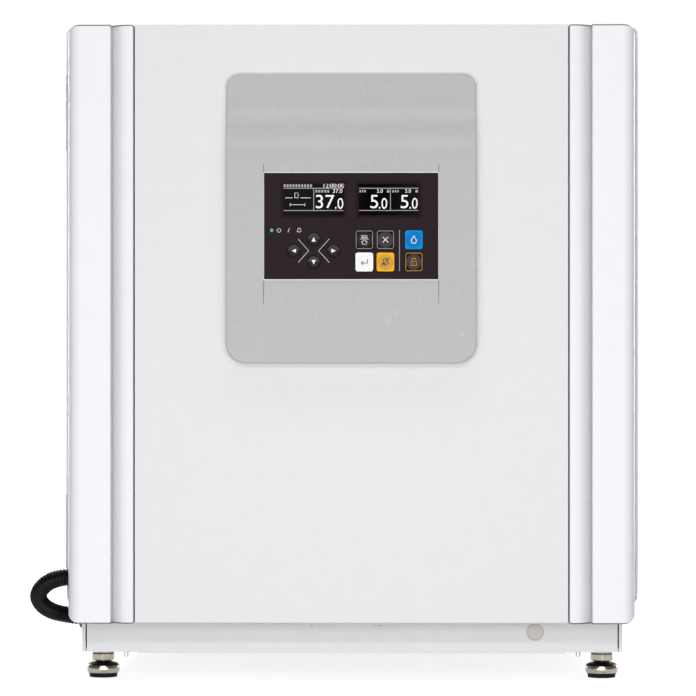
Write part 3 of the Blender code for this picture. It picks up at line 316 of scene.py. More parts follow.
def rectangle(low, high, radius=0.0, steps=8, lower=None):
    """Outline between two corners. The lower corners take their own radius where one is given."""
    (left, bottom), (right, top) = low, high
    if not radius:
        return [(left, bottom), (right, bottom), (right, top), (left, top)]
    lower = lower or radius
    corners = (
        (right - radius, top - radius, radius), (left + radius, top - radius, radius),
        (left + lower, bottom + lower, lower), (right - lower, bottom + lower, lower),
    )
    outline = []
    for number, (x, y, rounding) in enumerate(corners):
        outline += arc((x, y), rounding, 90 * number, 90 * number + 90, steps)
    return outline


def around(centre, size, radius, grow=0.0, steps=8):
    half_x, half_z = size[0] / 2 + grow, size[1] / 2 + grow
    x, z = centre
    return rectangle((x - half_x, z - half_z), (x + half_x, z + half_z), radius, steps)


def as_mesh(obj):
    bpy.context.view_layer.update()
    evaluated = obj.evaluated_get(bpy.context.evaluated_depsgraph_get())
    mesh = bpy.data.meshes.new_from_object(evaluated)
    mesh.transform(obj.matrix_world)
    build = bmesh.new()
    build.from_mesh(mesh)
    bmesh.ops.remove_doubles(build, verts=build.verts, dist=1e-6)
    bmesh.ops.recalc_face_normals(build, faces=build.faces)
    build.to_mesh(mesh)
    build.free()
    return mesh


def shape(name, data):
    obj = bpy.data.objects.new(name, data)
    bpy.context.scene.collection.objects.link(obj)
    return obj


def built(name, build):
    """The finished bmesh as an object."""
    mesh = bpy.data.meshes.new(name)
    build.to_mesh(mesh)
    build.free()
    return shape(name, mesh)


def block(low, high):
    build = bmesh.new()
    bmesh.ops.create_cube(build, size=1.0)
    bmesh.ops.scale(build, vec=high - low, verts=build.verts)
    bmesh.ops.translate(build, vec=(low + high) / 2, verts=build.verts)
    return build


def frozen(obj):
    """The object as a plain mesh in the row frame."""
    mesh = as_mesh(obj)
    name = obj.name
    bpy.data.objects.remove(obj, do_unlink=True)
    return shape(name, mesh)


def rounded(obj, width, segments=3, angle=35):
    modifier = obj.modifiers.new("rounding", "BEVEL")
    modifier.width = width
    modifier.segments = segments
    modifier.limit_method = "ANGLE"
    modifier.angle_limit = radians(angle)
    return obj


def cut(obj, other, operation="DIFFERENCE"):
    """The object after a Boolean with another, which is used up."""
    modifier = obj.modifiers.new("cut", "BOOLEAN")
    modifier.operation = operation
    modifier.object = other
    modifier.solver = "EXACT"
    result = frozen(obj)
    bpy.data.objects.remove(other, do_unlink=True)
    return result


def joined(name, parts):
    """One object from several meshes."""
    build = bmesh.new()
    for part in parts:
        build.from_mesh(as_mesh(part))
        bpy.data.objects.remove(part, do_unlink=True)
    return built(name, build)


AXIS_TURN = {"X": (pi / 2, 0, pi / 2), "Y": (pi / 2, 0, 0), "Z": (0, 0, 0)}


def plate(name, outlines, axis, low, high, rounding=0.0, segments=3):
    """A flat outline with holes, extruded along an axis from low to high."""
    curve = bpy.data.curves.new(name, "CURVE")
    curve.dimensions = "2D"
    curve.fill_mode = "BOTH"
    curve.extrude = (high - low) / 2
    for outline in outlines:
        spline = curve.splines.new("POLY")
        spline.points.add(len(outline) - 1)
        for point, (u, v) in zip(spline.points, outline):
            point.co = (u, v, 0, 1)
        spline.use_cyclic_u = True
    obj = shape(name, curve)
    obj.rotation_euler = AXIS_TURN[axis]
    obj.location["XYZ".index(axis)] = (low + high) / 2
    obj = frozen(obj)
    if rounding:
        rounded(obj, rounding, segments)
    return obj


def box(name, low, high, rounding=0.0005, segments=2):
    obj = built(name, block(Vector(low), Vector(high)))
    if rounding:
        rounded(obj, rounding, segments)
    return obj


def turned(name, profile, place, direction, steps=64, ring=False):
    """A turned piece. Its profile of (radius, height) runs from the top down its outer side."""
    mesh = bpy.data.meshes.new(name)
    edges = [(i, i + 1) for i in range(len(profile) - 1)]
    if ring:
        edges.append((len(profile) - 1, 0))
    mesh.from_pydata([(r, 0, h) for r, h in profile], edges, [])
    obj = shape(name, mesh)
    screw = obj.modifiers.new("turn", "SCREW")
    screw.steps = steps
    screw.render_steps = steps
    screw.use_merge_vertices = True
    screw.merge_threshold = 1e-6
    obj.location = place
    obj.rotation_mode = "QUATERNION"
    obj.rotation_quaternion = Vector(direction).to_track_quat("Z", "Y")
    return frozen(obj)


def rod(name, start, end, radius, steps=32):
    length = (Vector(end) - Vector(start)).length
    profile = [(0, length), (radius, length), (radius, 0), (0, 0)]
    return turned(name, profile, start, Vector(end) - Vector(start), steps)


def wire(name, lines, radius, closed=False):
    """Thin round lines through points."""
    curve = bpy.data.curves.new(name, "CURVE")
    curve.dimensions = "3D"
    curve.bevel_depth = radius
    curve.bevel_resolution = 2
    curve.use_fill_caps = True
    for line in lines:
        spline = curve.splines.new("POLY")
        spline.points.add(len(line) - 1)
        for point, co in zip(spline.points, line):
            point.co = (*co, 1)
        spline.use_cyclic_u = closed
    return frozen(shape(name, curve))


def lettering(name, words, centre, y, size, width):
    """Figures in the plane at y, seen from the front, as a thin solid."""
    curve = bpy.data.curves.new(name, "FONT")
    curve.body = words
    curve.size = size
    curve.align_x = "CENTER"
    curve.align_y = "CENTER"
    curve.extrude = FILM
    obj = shape(name, curve)
    obj.rotation_euler = (pi / 2, 0, 0)
    obj.scale = (width, 1, 1)
    obj.location = (centre[0], y, centre[1])
    return frozen(obj)


def flat(name, outlines, y):
    """Thin printed areas in the plane at y, each outline on its own."""
    parts = [plate(name, [outline], "Y", y - FILM, y + FILM) for outline in outlines]
    return joined(name, parts)


def front(points, y):
    return [(x, y, z) for x, z in points]


def mirrored(points):
    return [(-u, v) for u, v in reversed(points)]


def put(obj, finish, body, nodes=(), sharp=35):
    """Gives a piece its finish, and lets it ride on its body in place of the CAD nodes."""
    if obj.modifiers:
        obj = frozen(obj)
    obj.data.materials.clear()
    obj.data.materials.append(finish)
    obj.data.shade_smooth()
    obj.data.set_sharp_from_angle(angle=radians(sharp))
    obj.modifiers.new("normals", "WEIGHTED_NORMAL").keep_sharp = True
    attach(obj, body)
    if nodes:
        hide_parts(*([nodes] if isinstance(nodes, str) else nodes))
    return obj


def draw(name, lines, y, radius, finish, body=DOOR, closed=False):
    """Puts thin lines on a face at y."""
    put(wire(name, [front(line, y) for line in lines], radius, closed), finish, body)


def dress(node, finish, rounding=0.0):
    """Keeps a CAD node as it is, with its finish."""
    obj = NODES[node]
    obj.data.materials.clear()
    obj.data.materials.append(finish)
    if rounding:
        rounded(obj, rounding, 2, 50)


# ---- Outer door ----


def trim_profile(sunk=0.0):
    """Section of a trim. Its face and channel lie lower by what they are sunk."""
    inner = SKIN_HALF + (0.0005 if sunk else 0.001)
    rear = DOOR_BACK - 0.0005
    face = DOOR_FRONT + sunk
    back = PAN_FRONT - 0.0005
    outline = [(inner, back), (PAN_HALF + 0.0003, back), (PAN_HALF + 0.0003, rear), (DOOR_HALF, rear)]
    outline += arc((DOOR_HALF - 0.0105, face + 0.0105), 0.0105, 0, -90, 20)
    outline += arc((CHANNEL_EDGE + 0.0012, face + 0.0012), 0.0012, -90, -180, 6)
    for i in range(28, -1, -1):
        share = i / 28
        x = inner + (CHANNEL_EDGE - inner) * share
        outline.append((x, face + 0.0006 + CHANNEL_DEPTH * share**3))
    return outline


def trim_shadow_strip(side):
    """A dark line along a trim's top, inner side and bottom, seen from the front: painted shade of the gaps
    round the trim.
    """
    bottom, top = DOOR_Z
    inner = SKIN_HALF + 0.0006

    def path(inset):
        left, right = inner + inset, DOOR_HALF - inset
        low, high = bottom + inset, top - inset
        big, small = DOOR_CORNER - inset, 0.0022 - inset
        points = arc((right - big, low + big), big, 0, -90, 8)
        points += arc((left + small, low + small), small, -90, -180, 4)
        points += arc((left + small, high - small), small, 180, 90, 4)
        points += arc((right - big, high - big), big, 90, 0, 8)
        return points

    outline = path(0) + path(0.001)[::-1]
    section = trim_profile(0.0004)
    if side < 0:
        outline, section = mirrored(outline), mirrored(section)
    strip = plate("trim_shadow_line", [outline], "Y", DOOR_FRONT - 0.001, PAN_FRONT)
    return cut(strip, plate("section", [section], "Z", bottom - 0.002, top + 0.002), "INTERSECT")


def door():
    bottom, top = DOOR_Z
    inset, small = 0.001, 0.0014
    corner = DOOR_CORNER - inset
    right = trim_profile()
    for side, name in ((1, "right"), (-1, "left")):
        outline = right if side > 0 else mirrored(right)
        body = plate(f"trim_{name}", [outline], "Z", bottom - 0.002, top + 0.002)
        inner, outer = SKIN_HALF + 0.0006 + inset + small, DOOR_HALF - corner
        low, high = bottom + inset, top - inset
        silhouette = arc((inner, high - small), small, 90, 180, 4)
        silhouette += arc((inner, low + small), small, 180, 270, 4)
        silhouette += arc((outer, low + corner), corner, -90, 0, 10)
        silhouette += arc((outer, high - corner), corner, 0, 90, 10)
        if side < 0:
            silhouette = mirrored(silhouette)
        body = cut(body, plate("silhouette", [silhouette], "Y", -0.3, -0.2), "INTERSECT")
        rounded(body, 0.0007, 3, 40)
        put(body, TRIM_WHITE_PAINTED_SHADE, DOOR, f"door_trim_{name}")
        # Dark line round the trim's ends and inner side: painted shade of the gaps.
        put(trim_shadow_strip(side), SHADOW_LINE_GREY, DOOR)

    face = DOOR_FRONT + 0.0005
    fold = PAN_FRONT - 0.0003
    skin = [
        (fold, bottom), (fold, bottom + 0.0015), (face + 0.0015, bottom + 0.0015),
        (face + 0.0015, top - 0.0015), (fold, top - 0.0015), (fold, top),
        *arc((face + 0.0018, top - 0.0018), 0.0018, 90, 180, 6),
        *arc((face + 0.0018, bottom + 0.0018), 0.0018, 180, 270, 6),
    ]
    put(plate("skin", [skin], "X", -SKIN_HALF, SKIN_HALF, 0.0003, 2), WHITE_PAINT, DOOR, "door_skin")
    dress("door_liner", WHITE_PAINT, 0.0006)
    dress("door_insulation", FOAM)
    door_gasket()


def door_gasket():
    """A soft seal with a bellows groove along its front."""

    def frames(margins, corner):
        outlines = []
        for margin in margins:
            low = (-DOOR_HALF + margin, DOOR_Z[0] + margin + GASKET_RISE)
            outlines.append(rectangle(low, (DOOR_HALF - margin, DOOR_Z[1] - margin), corner))
        return outlines

    seal = plate("gasket", frames((0.019, 0.0295), 0.01), "Y", DOOR_BACK + 0.0003, -0.215, 0.0008)
    put(seal, GREY_RUBBER, DOOR, "door_gasket")
    lip = plate("gasket_lip", frames((0.021, 0.024), 0.009), "Y", -0.2152, -0.214, 0.0004)
    put(lip, GREY_RUBBER, DOOR)


# ---- Control unit ----


def housing():
    rear = DOOR_FRONT + 0.0002
    low, high = HOUSING_STEP
    side = [(rear, HOUSING_Z[0]), (rear, HOUSING_Z[1]), (HOUSING_UPPER_FACE, HOUSING_Z[1])]
    for i in range(49):
        share = (1 - cos(pi * i / 48)) / 2
        face = HOUSING_UPPER_FACE + (HOUSING_FACE - HOUSING_UPPER_FACE) * share
        side.append((face, high + (low - high) * i / 48))
    side.append((HOUSING_FACE, HOUSING_Z[0]))
    body = plate("housing", [side], "X", -HOUSING_HALF, HOUSING_HALF)
    corners = rectangle((-HOUSING_HALF, HOUSING_Z[0]), (HOUSING_HALF, HOUSING_Z[1]), 0.01, 14, 0.0165)
    body = cut(body, plate("silhouette", [corners], "Y", -0.29, -0.25), "INTERSECT")
    rounded(body, 0.0016, 4, 40)
    recess = [
        (HOUSING_FACE - 0.001, RECESS_Z[0]), (HOUSING_FACE, RECESS_Z[0]),
        (RECESS_FLOOR, OVERLAY_Z[0] - 0.0006), (RECESS_FLOOR, OVERLAY_Z[1] + 0.0006),
        (HOUSING_FACE, RECESS_Z[1]), (HOUSING_FACE - 0.001, RECESS_Z[1]),
    ]
    half = OVERLAY_HALF + 0.0006
    body = cut(body, plate("recess", [recess], "X", -half, half))
    low = (0.006 - OVERLAY_HALF, -0.29, OVERLAY_Z[0] + 0.006)
    high = (OVERLAY_HALF - 0.006, -0.266, OVERLAY_Z[1] - 0.006)
    body = cut(body, box("window", low, high, 0))
    put(body, HOUSING_GREY, DOOR, "control_housing", sharp=25)
    # Dark lines at the recess's side walls above and below the overlay: painted shadow.
    ends = ((RECESS_Z[0], OVERLAY_Z[0]), (OVERLAY_Z[1], RECESS_Z[1]))
    edges = [[(x, low + 0.0012), (x, high - 0.0012)] for x in (-half, half) for low, high in ends]
    draw("recess_shadow_lines", edges, HOUSING_FACE + 0.0001, 0.00022, SHADOW_LINE_GREY)


def overlay():
    holes = [around((x, SCREEN_Z), SCREEN_SIZE, 0.0006, 0.0003) for x in SCREEN_X]
    holes += [circle(centre, 0.0057) for centre in ARROWS.values()]
    holes += [around(centre, SQUARE_SIZE, 0.0021, 0.0003) for centre in SQUARES.values()]
    film = rectangle((-OVERLAY_HALF, OVERLAY_Z[0]), (OVERLAY_HALF, OVERLAY_Z[1]))
    body = plate("overlay", [film, *holes], "Y", OVERLAY_FRONT, -0.2725)
    put(body, OVERLAY_DARK, DOOR, "control_overlay")
    # A light frame round the overlay: painted highlight along the recess edges.
    margins = [(OVERLAY_HALF + g, g) for g in (0.0012, 0.0001)]
    highlight_frame = [rectangle((-u, OVERLAY_Z[0] - g), (u, OVERLAY_Z[1] + g)) for u, g in margins]
    highlight_frame = plate("highlight_frame", highlight_frame, "Y", OVERLAY_FRONT - 0.0002, -0.2715, 0.0002, 2)
    put(highlight_frame, PAINTED_HIGHLIGHT_GREY, DOOR)
    backing = box("overlay_backing", (-0.065, -0.2677, 0.341), (0.065, -0.2671, 0.4145), 0)
    put(backing, BLACK_PLASTIC, DOOR)

    ink = OVERLAY_FRONT - 0.00003
    lines = []
    for mouth, tip in ((-0.0435, -0.035), (-0.0179, -0.0265)):
        bend = tip - copysign(0.0012, tip - mouth)
        upper = [(mouth, 0.0097), (bend, 0.0015), (tip, 0.0003)]
        lower = [(u, -v) for u, v in reversed(upper)]
        lines.append([(u, 0.3574 + v) for u, v in upper + lower])
    draw("chevrons", lines, ink, 0.00018, PRINT_WHITE)
    draw("divider", [[(0.0396, 0.3408), (0.0396, 0.3744)]], ink, 0.00035, PRINT_GREY)
    light = mm((0, 0.6), (0.9, 0.4), (1.4, 0), (0, 0))
    light = turned("status_light", light, (-0.0652, OVERLAY_FRONT, 0.3742), FRONTWARD)
    put(light, GREEN_LIGHT, DOOR)
    bell = [(-1.5, -0.9), (-1, -0.4), *arc((0, 0.4), 1, 180, 0, 8), (1, -0.4), (1.5, -0.9), (-1.5, -0.9)]
    signs = [
        arc((-0.0592, 0.3742), 0.0016, 130, 410, 14),
        [(-0.0592, 0.3762), (-0.0592, 0.3744)],
        [(-0.0518, 0.3725), (-0.0506, 0.376)],
        [(-0.0426 + u / 800, 0.3742 + v / 800) for u, v in bell],
        [(-0.043, 0.3725), (-0.0422, 0.3725)],
    ]
    draw("light_label", signs, ink, 0.00022, PRINT_WHITE)


def displays():
    board = box("display_board", (-0.062, -0.266, 0.342), (0.062, -0.2644, 0.4145), 0.0004)
    put(board, BLACK_PLASTIC, DOOR, "display_module")
    glass = OVERLAY_FRONT + 0.0003
    for x in SCREEN_X:

        def pane(corner, grow):
            return around((x, SCREEN_Z), SCREEN_SIZE, corner, grow)

        rim = plate("screen_rim", [pane(0.0006, 0), pane(0.0004, -0.0009)], "Y", glass - 0.0001, -0.269)
        put(rim, SCREEN_RIM, DOOR)
        put(plate("screen", [pane(0.0006, -0.0008)], "Y", glass, -0.265, 0.0001), SCREEN_BLACK, DOOR)
        border = [pane(0.0006, 0.0012), pane(0.0006, 0.0002)]
        border = plate("screen_border", border, "Y", OVERLAY_FRONT - FILM, OVERLAY_FRONT + 0.0002)
        put(border, SCREEN_RIM, DOOR)
    ink = glass - 0.00003
    top, low = 0.4086, 0.3904
    left, right = -0.0553, -0.0065
    lines = [[(x, top), (x, low)] for x in (-0.0307, 0.0322)]
    lines += [[(sign * left, z), (sign * right, z)] for z in (top, low) for sign in (1, -1)]
    draw("screen_lines", lines, ink, 0.00038, PRINT_GREY)
    figures = [lettering("figures", "37", (-0.0218, 0.3971), ink, 0.0158, 1.04)]
    figures += [lettering("figures", "5", (x, 0.3971), ink, 0.0158, 1.04) for x in (0.019, 0.0438)]
    figures += [lettering("figures", ".0", (x, 0.3957), ink, 0.0126, 0.85) for x in (-0.01, 0.026, 0.051)]
    put(joined("figures", figures), PRINT_WHITE, DOOR)
    small = [
        lettering("small", "12:00:00", (-0.0146, 0.4107), ink, 0.0048, 1.1),
        lettering("small", "37.0", (-0.0112, 0.4062), ink, 0.0044, 1.1),
    ]
    small += [lettering("small", "5.0", (x, 0.4062), ink, 0.0042, 1.0) for x in (0.0235, 0.0466)]
    put(joined("small_figures", small), PRINT_WHITE, DOOR)
    rows = [around((-0.0545 + 0.0024 * number, 0.4107), (0.0015, 0.0024), 0) for number in range(10)]
    rows += [around((-0.0284 + 0.0024 * number, 0.4062), (0.0015, 0.0022), 0) for number in range(5)]
    for x in (0.0074, 0.0344):
        rows += [around((x + 0.002 * number, 0.4062), (0.0011, 0.002), 0) for number in range(3)]
    rows += [around((x, 0.4062), (0.002, 0.0022), 0) for x in (0.0303, 0.0538)]
    put(flat("small_blocks", rows, ink), PRINT_GREY, DOOR)
    signs = [  # the door and a level bar
        mm((-46.2, 400.8), (-46.2, 404.8), (-43.4, 404.8), (-43.4, 400.8), (-46.2, 400.8)),
        mm((-44.1, 402.7), (-44.1, 403.0)),
        mm((-54.2, 400.8), (-48.0, 400.8)),
        mm((-41.6, 400.8), (-33.0, 400.8)),
        mm((-49.5, 395.2), (-38.5, 395.2)),
        mm((-50.0, 394.0), (-50.0, 396.4)),
        mm((-38.0, 394.0), (-38.0, 396.4)),
    ]
    draw("screen_signs", signs, ink, 0.00026, PRINT_WHITE)


def keys():
    depth = KEY_BACK - KEY_FRONT
    for name, (x, z) in ARROWS.items():
        turns = (0, 0.3, 0.6, 0.9, 1.2, 1.5)
        profile = [(0.0048 * sin(a), depth + 0.0001 - 0.0009 * (1 - cos(a))) for a in turns]
        profile += [(0.0053, depth - 0.0011), (0.0056, depth - 0.0016), (0.0056, 0), (0, 0)]
        key = turned(f"arrow_{name}", profile, (x, KEY_BACK, z), FRONTWARD)
        put(key, DOME_DARK, f"button_{name}", f"key_{name}")
        # A lighter patch on the upper half of the dome: painted highlight.
        half = arc((x, z), 0.005, 6, 174, 20) + arc((x, z + 0.0009), 0.0052, 186, 354, 10)[1:-1]
        half = [(u, max(v, z + 0.0001)) for u, v in half]
        highlight_patch = plate("arrow_painted_highlight", [half], "Y", KEY_FRONT - FILM, KEY_FRONT + 0.0003)
        put(highlight_patch, PAINTED_HIGHLIGHT_DARK, f"button_{name}")
        across, up = {"up": (0, 1), "down": (0, -1), "left": (-1, 0), "right": (1, 0)}[name]
        tip = (x + 0.0018 * across, z + 0.0018 * up)
        foot = (x - 0.0018 * across, z - 0.0018 * up)
        sides = [
            (foot[0] + 0.0017 * up, foot[1] - 0.0017 * across),
            (foot[0] - 0.0017 * up, foot[1] + 0.0017 * across),
        ]
        mark = plate("arrow_mark", [[tip, *sides]], "Y", KEY_FRONT - 0.00012, KEY_FRONT + 0.0003)
        put(mark, PRINT_WHITE, f"button_{name}")

    # Face, dome and outline colours. The cancel and unlock domes carry painted highlight, the disinfect,
    # enter and buzzer domes painted shade.
    finishes = {
        "menu": (KEY_DARK, DOME_DARK, PRINT_GREY),
        "cancel": (KEY_DARK, PAINTED_HIGHLIGHT_DARK, PRINT_GREY),
        "disinfect": (KEY_BLUE, PAINTED_SHADE_BLUE, None),
        "enter": (KEY_WHITE, PAINTED_SHADE_WHITE, None),
        "buzzer": (KEY_AMBER, PAINTED_SHADE_AMBER, None),
        "unlock": (KEY_DARK, PAINTED_HIGHLIGHT_DARK, PRINT_AMBER),
    }
    for name, (x, z) in SQUARES.items():
        face, dome, line = finishes[name]
        square = around((x, z), SQUARE_SIZE, 0.0018)
        body = plate(f"square_{name}", [square], "Y", KEY_FRONT, KEY_BACK, 0.0003, 2)
        put(body, face, f"button_{name}", f"key_{name}")
        bulge = [(0, 0.00035)]
        bulge += [(0.0064 * i / 6, 0.00035 * sqrt(1 - (i / 6) ** 2 * 0.9)) for i in range(1, 7)]
        bulge += [(0.0065, -0.0002), (0, -0.0002)]
        cap = turned(f"dome_{name}", bulge, (x, KEY_FRONT, z), FRONTWARD)
        put(cap, dome, f"button_{name}")
        if line:
            ring = around((x, z), SQUARE_SIZE, 0.0018, -0.0005)
            draw(f"outline_{name}", [ring], KEY_FRONT, 0.00028, line, f"button_{name}", True)
        ink = {"enter": PRINT_DARK, "buzzer": PRINT_DARK, "unlock": PRINT_AMBER}.get(name, PRINT_WHITE)
        put(key_mark(name, x, z), ink, f"button_{name}")


def key_mark(name, x, z):
    """A pictogram: house and menu bars, cross, drop, return arrow, crossed bell or open padlock."""
    thick = 0.00026 if name == "menu" else 0.00034
    if name == "menu":
        lines = [
            [(-2.6, 3.2), (2.6, 3.2)], [(-2.6, 2.0), (2.6, 2.0)], [(-3.4, 0.6), (3.4, 0.6)],
            [(-2.4, -1.9), (0, -0.3), (2.4, -1.9)], [(-1.7, -1.5), (-1.7, -3.7), (1.7, -3.7), (1.7, -1.5)],
        ]
    elif name == "cancel":
        lines = [[(-2.2, -2.2), (2.2, 2.2)], [(-2.2, 2.2), (2.2, -2.2)]]
    elif name == "disinfect":
        lines = [[(0, 3.2), *arc((0, -0.9), 2.1, 40, -220, 16), (0, 3.2)]]
    elif name == "enter":
        lines = [[(2.6, 2.0), (2.6, -0.9), (-2.6, -0.9)], [(-1.1, 0.6), (-2.6, -0.9), (-1.1, -2.4)]]
    elif name == "buzzer":
        bell = [
            (-2.7, -1.6), (-1.9, -0.8), (-1.9, 0.8), *arc((0, 0.8), 1.9, 180, 0, 10), (1.9, -0.8),
            (2.7, -1.6), (-2.7, -1.6),
        ]
        lines = [bell, arc((0, -2.0), 0.7, 180, 360, 6), [(-3.2, -3.0), (3.2, 3.4)]]
    elif name == "unlock":
        lines = [
            [(-2.3, -2.9), (2.3, -2.9), (2.3, 0.3), (-2.3, 0.3), (-2.3, -2.9)],
            [(-1.5, 0.3), *arc((0, 1.8), 1.5, 180, -10, 10)], [(0, -0.8), (0, -1.9)],
        ]
    lines = [front([(x + u / 1000, z + v / 1000) for u, v in line], INK) for line in lines]
    return wire(f"mark_{name}", lines, thick)


# ---- Conduit ----


def smooth_route(points, steps):
    points = [Vector(p) for p in points]
    ends = [2 * points[0] - points[1], *points, 2 * points[-1] - points[-2]]
    route = []
    for before, start, end, after in zip(ends, ends[1:], ends[2:], ends[3:]):
        for i in range(steps):
            t = i / steps
            bend = 2 * before - 5 * start + 4 * end - after
            twist = 3 * start - before - 3 * end + after
            route.append(0.5 * (2 * start + (end - before) * t + bend * t**2 + twist * t**3))
    return [*route, points[-1]]


def even_spacing(route, step):
    """Points at equal distances along a route."""
    lengths = [0.0]
    for a, b in zip(route, route[1:]):
        lengths.append(lengths[-1] + (b - a).length)
    count = max(2, round(lengths[-1] / step))
    result = []
    k = 0
    for i in range(count + 1):
        wanted = lengths[-1] * i / count
        while k < len(route) - 2 and lengths[k + 1] < wanted:
            k += 1
        share = (wanted - lengths[k]) / max(1e-9, lengths[k + 1] - lengths[k])
        result.append(route[k].lerp(route[k + 1], min(1.0, share)))
    return result, lengths[-1]


def conduit():
    pitch, sides = 0.0025, 28
    centres, length = even_spacing(smooth_route(CONDUIT_ROUTE, 12), pitch / 5)
    build = bmesh.new()
    rings = []
    up = Vector(UP)
    for number, centre in enumerate(centres):
        after = centres[min(number + 1, len(centres) - 1)]
        before = centres[max(number - 1, 0)]
        along = (after - before).normalized()
        across = along.cross(up).normalized()
        up = across.cross(along).normalized()
        wave = cos(tau * number / 5)
        radius = CONDUIT_RADIUS - 0.00042 + 0.00042 * max(-1.0, min(1.0, 1.6 * wave))
        ring = []
        for side in range(sides):
            a = tau * side / sides
            ring.append(build.verts.new(centre + across * (radius * cos(a)) + up * (radius * sin(a))))
        rings.append(ring)
    for a, b in zip(rings, rings[1:]):
        for i in range(sides):
            j = (i + 1) % sides
            build.faces.new((a[i], a[j], b[j], b[i]))
    build.faces.new(rings[0][::-1])
    build.faces.new(rings[-1])
    bmesh.ops.recalc_face_normals(build, faces=build.faces)
    tube = built("conduit", build)
    tube.data.materials.append(CONDUIT_BLACK)
    tube.data.shade_smooth()
    tube.data.set_sharp_from_angle(angle=radians(50))
    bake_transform(tube)
    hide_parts("door_conduit")
    path = [tuple(c) for c in centres[::5]]
    if path[-1] != tuple(centres[-1]):
        path.append(tuple(centres[-1]))
    gland = mm((0, 3.3), (9, 3.3), (9.6, 2.7), (10, 1.5), (11.4, 1.5), (12, 1.1), (12, 0), (0, 0))
    gland = turned("gland", gland, (-0.2269, -0.19, 0.0512), (-1, 0, 0))
    put(gland, BLACK_PLASTIC, CASE, "conduit_gland")
    collar = mm((0, 0.9), (8.6, 0.9), (9.2, 0.4), (9.2, 0), (0, 0))
    collar = turned("conduit_collar", collar, (-DOOR_HALF, -0.2354, 0.0868), (-1, 0, 0))
    put(collar, BLACK_PLASTIC, DOOR)


# ---- Cabinet, plinth and feet ----


def screw(name, place, direction, radius, body):
    """A pan-head screw, its cross recess drawn as two dark lines of painted shade."""
    shares = ((0, 0.55), (0.6, 0.5), (0.95, 0.25), (1, 0), (0, 0))
    head = turned(name, [(radius * u, radius * v) for u, v in shares], place, direction, 24)
    put(head, STEEL, body)
    axis = Vector(direction)
    tip = Vector(place) + axis * radius * 0.56
    side = axis.orthogonal().normalized()
    for turn in (side, axis.cross(side)):
        arm = turn * radius * 0.5
        put(wire("cross", [[tip - arm, tip + arm]], radius * 0.09), PAINTED_SHADE_STEEL, body)


def cabinet():
    for node, finish, rounding in (
        ("cabinet_shell", WHITE_PAINT, 0.0003), ("back_panel", WHITE_PAINT, 0.0),
        ("front_frame", WHITE_PLASTIC, 0.0004), ("insulation_jacket", FOAM, 0.0),
        ("plinth_pan", WHITE_PAINT, 0.0004),
    ):
        dress(node, finish, rounding)
    top, bottom = 0.0637, 0.023
    side, middle, drop = 0.2224, 0.179, 0.0013
    notch = (-0.0203, 0.0217)
    outline = [
        (-side, top), (-side, bottom), (-middle, bottom), (-middle, bottom - drop), (middle, bottom - drop),
        (middle, bottom), (side, bottom), (side, top), (notch[1], top), (notch[1], 0.0463),
        (notch[0], 0.0463), (notch[0], top),
    ]
    panel = plate("plinth_panel", [outline, circle((0.1534, 0.0398), 0.0067)], "Y", -0.211, -0.209)
    put(panel, WHITE_PAINT, CASE, "plinth_front")
    plug = mm((0, 1.9), (5.6, 1.9), (6.3, 1.6), (7.2, 1.2), (7.3, 0.3), (5.9, 0.3), (5.9, -6), (0, -6))
    plug = turned("plug", plug, (0.1534, -0.211, 0.0398), FRONTWARD)
    put(plug, PLUG_GREY, CASE, "plinth_plug")
    for x in (-0.1895, 0.1895):
        pin = mm((0, 0), (1.6, 0), (1.8, -0.4), (1.8, -3.4), (1, -4.2), (0, -4.2))
        put(turned("plinth_pin", pin, (x, -0.208, bottom), UP, 24), STEEL, CASE)


def feet():
    for side, sign in (("left", -1), ("right", 1)):
        for end, y in (("front", -0.188), ("rear", 0.215)):
            body = f"levelling_{end}_{side}"
            node = f"foot_{end}_{side}"
            place = (sign * 0.2105, y, 0)
            pad = mm((0, 3.6), (12.2, 3.6), (12.2, 3), (11.7, 2.2), (11.7, 0.4), (11.3, 0), (0, 0))
            put(turned("foot_pad", pad, place, UP), BLACK_RUBBER, body, node)
            # The top of each foot's cup in dark steel: painted reflection of the shade under the plinth.
            reflection_ring = mm((0, 12.8), (5.2, 12.8), (9.5, 12.4), (12.2, 11.3), (13.3, 10), (0, 9.8))
            put(turned("foot_painted_reflection", reflection_ring, place, UP, 96), PAINTED_SHADE_STEEL, body, sharp=60)
            cup = mm((0, 10), (13.3, 10), (13.7, 8), (13.7, 5.2), (13.2, 4), (12.4, 3.5), (0, 3.5))
            put(turned("foot_cup", cup, place, UP, 96), ZINC, body, sharp=60)
            neck = mm((0, 14.6), (5.6, 14.6), (6.8, 13.4), (8, 12.7), (0, 12.7))
            put(turned("foot_neck", neck, place, UP), ZINC, body)
            nut = arc(place, 0.0104, 30, 330, 5)
            put(plate("foot_nut", [nut], "Z", 0.0142, 0.0202, 0.0008, 3), ZINC, body)
            flange = mm((0, 22.8), (9.7, 22.8), (9.9, 22.2), (9.4, 20.6), (8, 20), (0, 20))
            put(turned("foot_flange", flange, place, UP), ZINC, body)
            stem = [(0, 0.043), (0.0036, 0.043)]
            height = 0.0424
            while height > 0.0232:
                stem += [(0.0043, height), (0.0037, height - 0.0006)]
                height -= 0.0012
            stem += [(0.0037, 0.0226), (0, 0.0226)]
            put(turned("foot_stem", stem, place, UP, 32), ZINC, body)


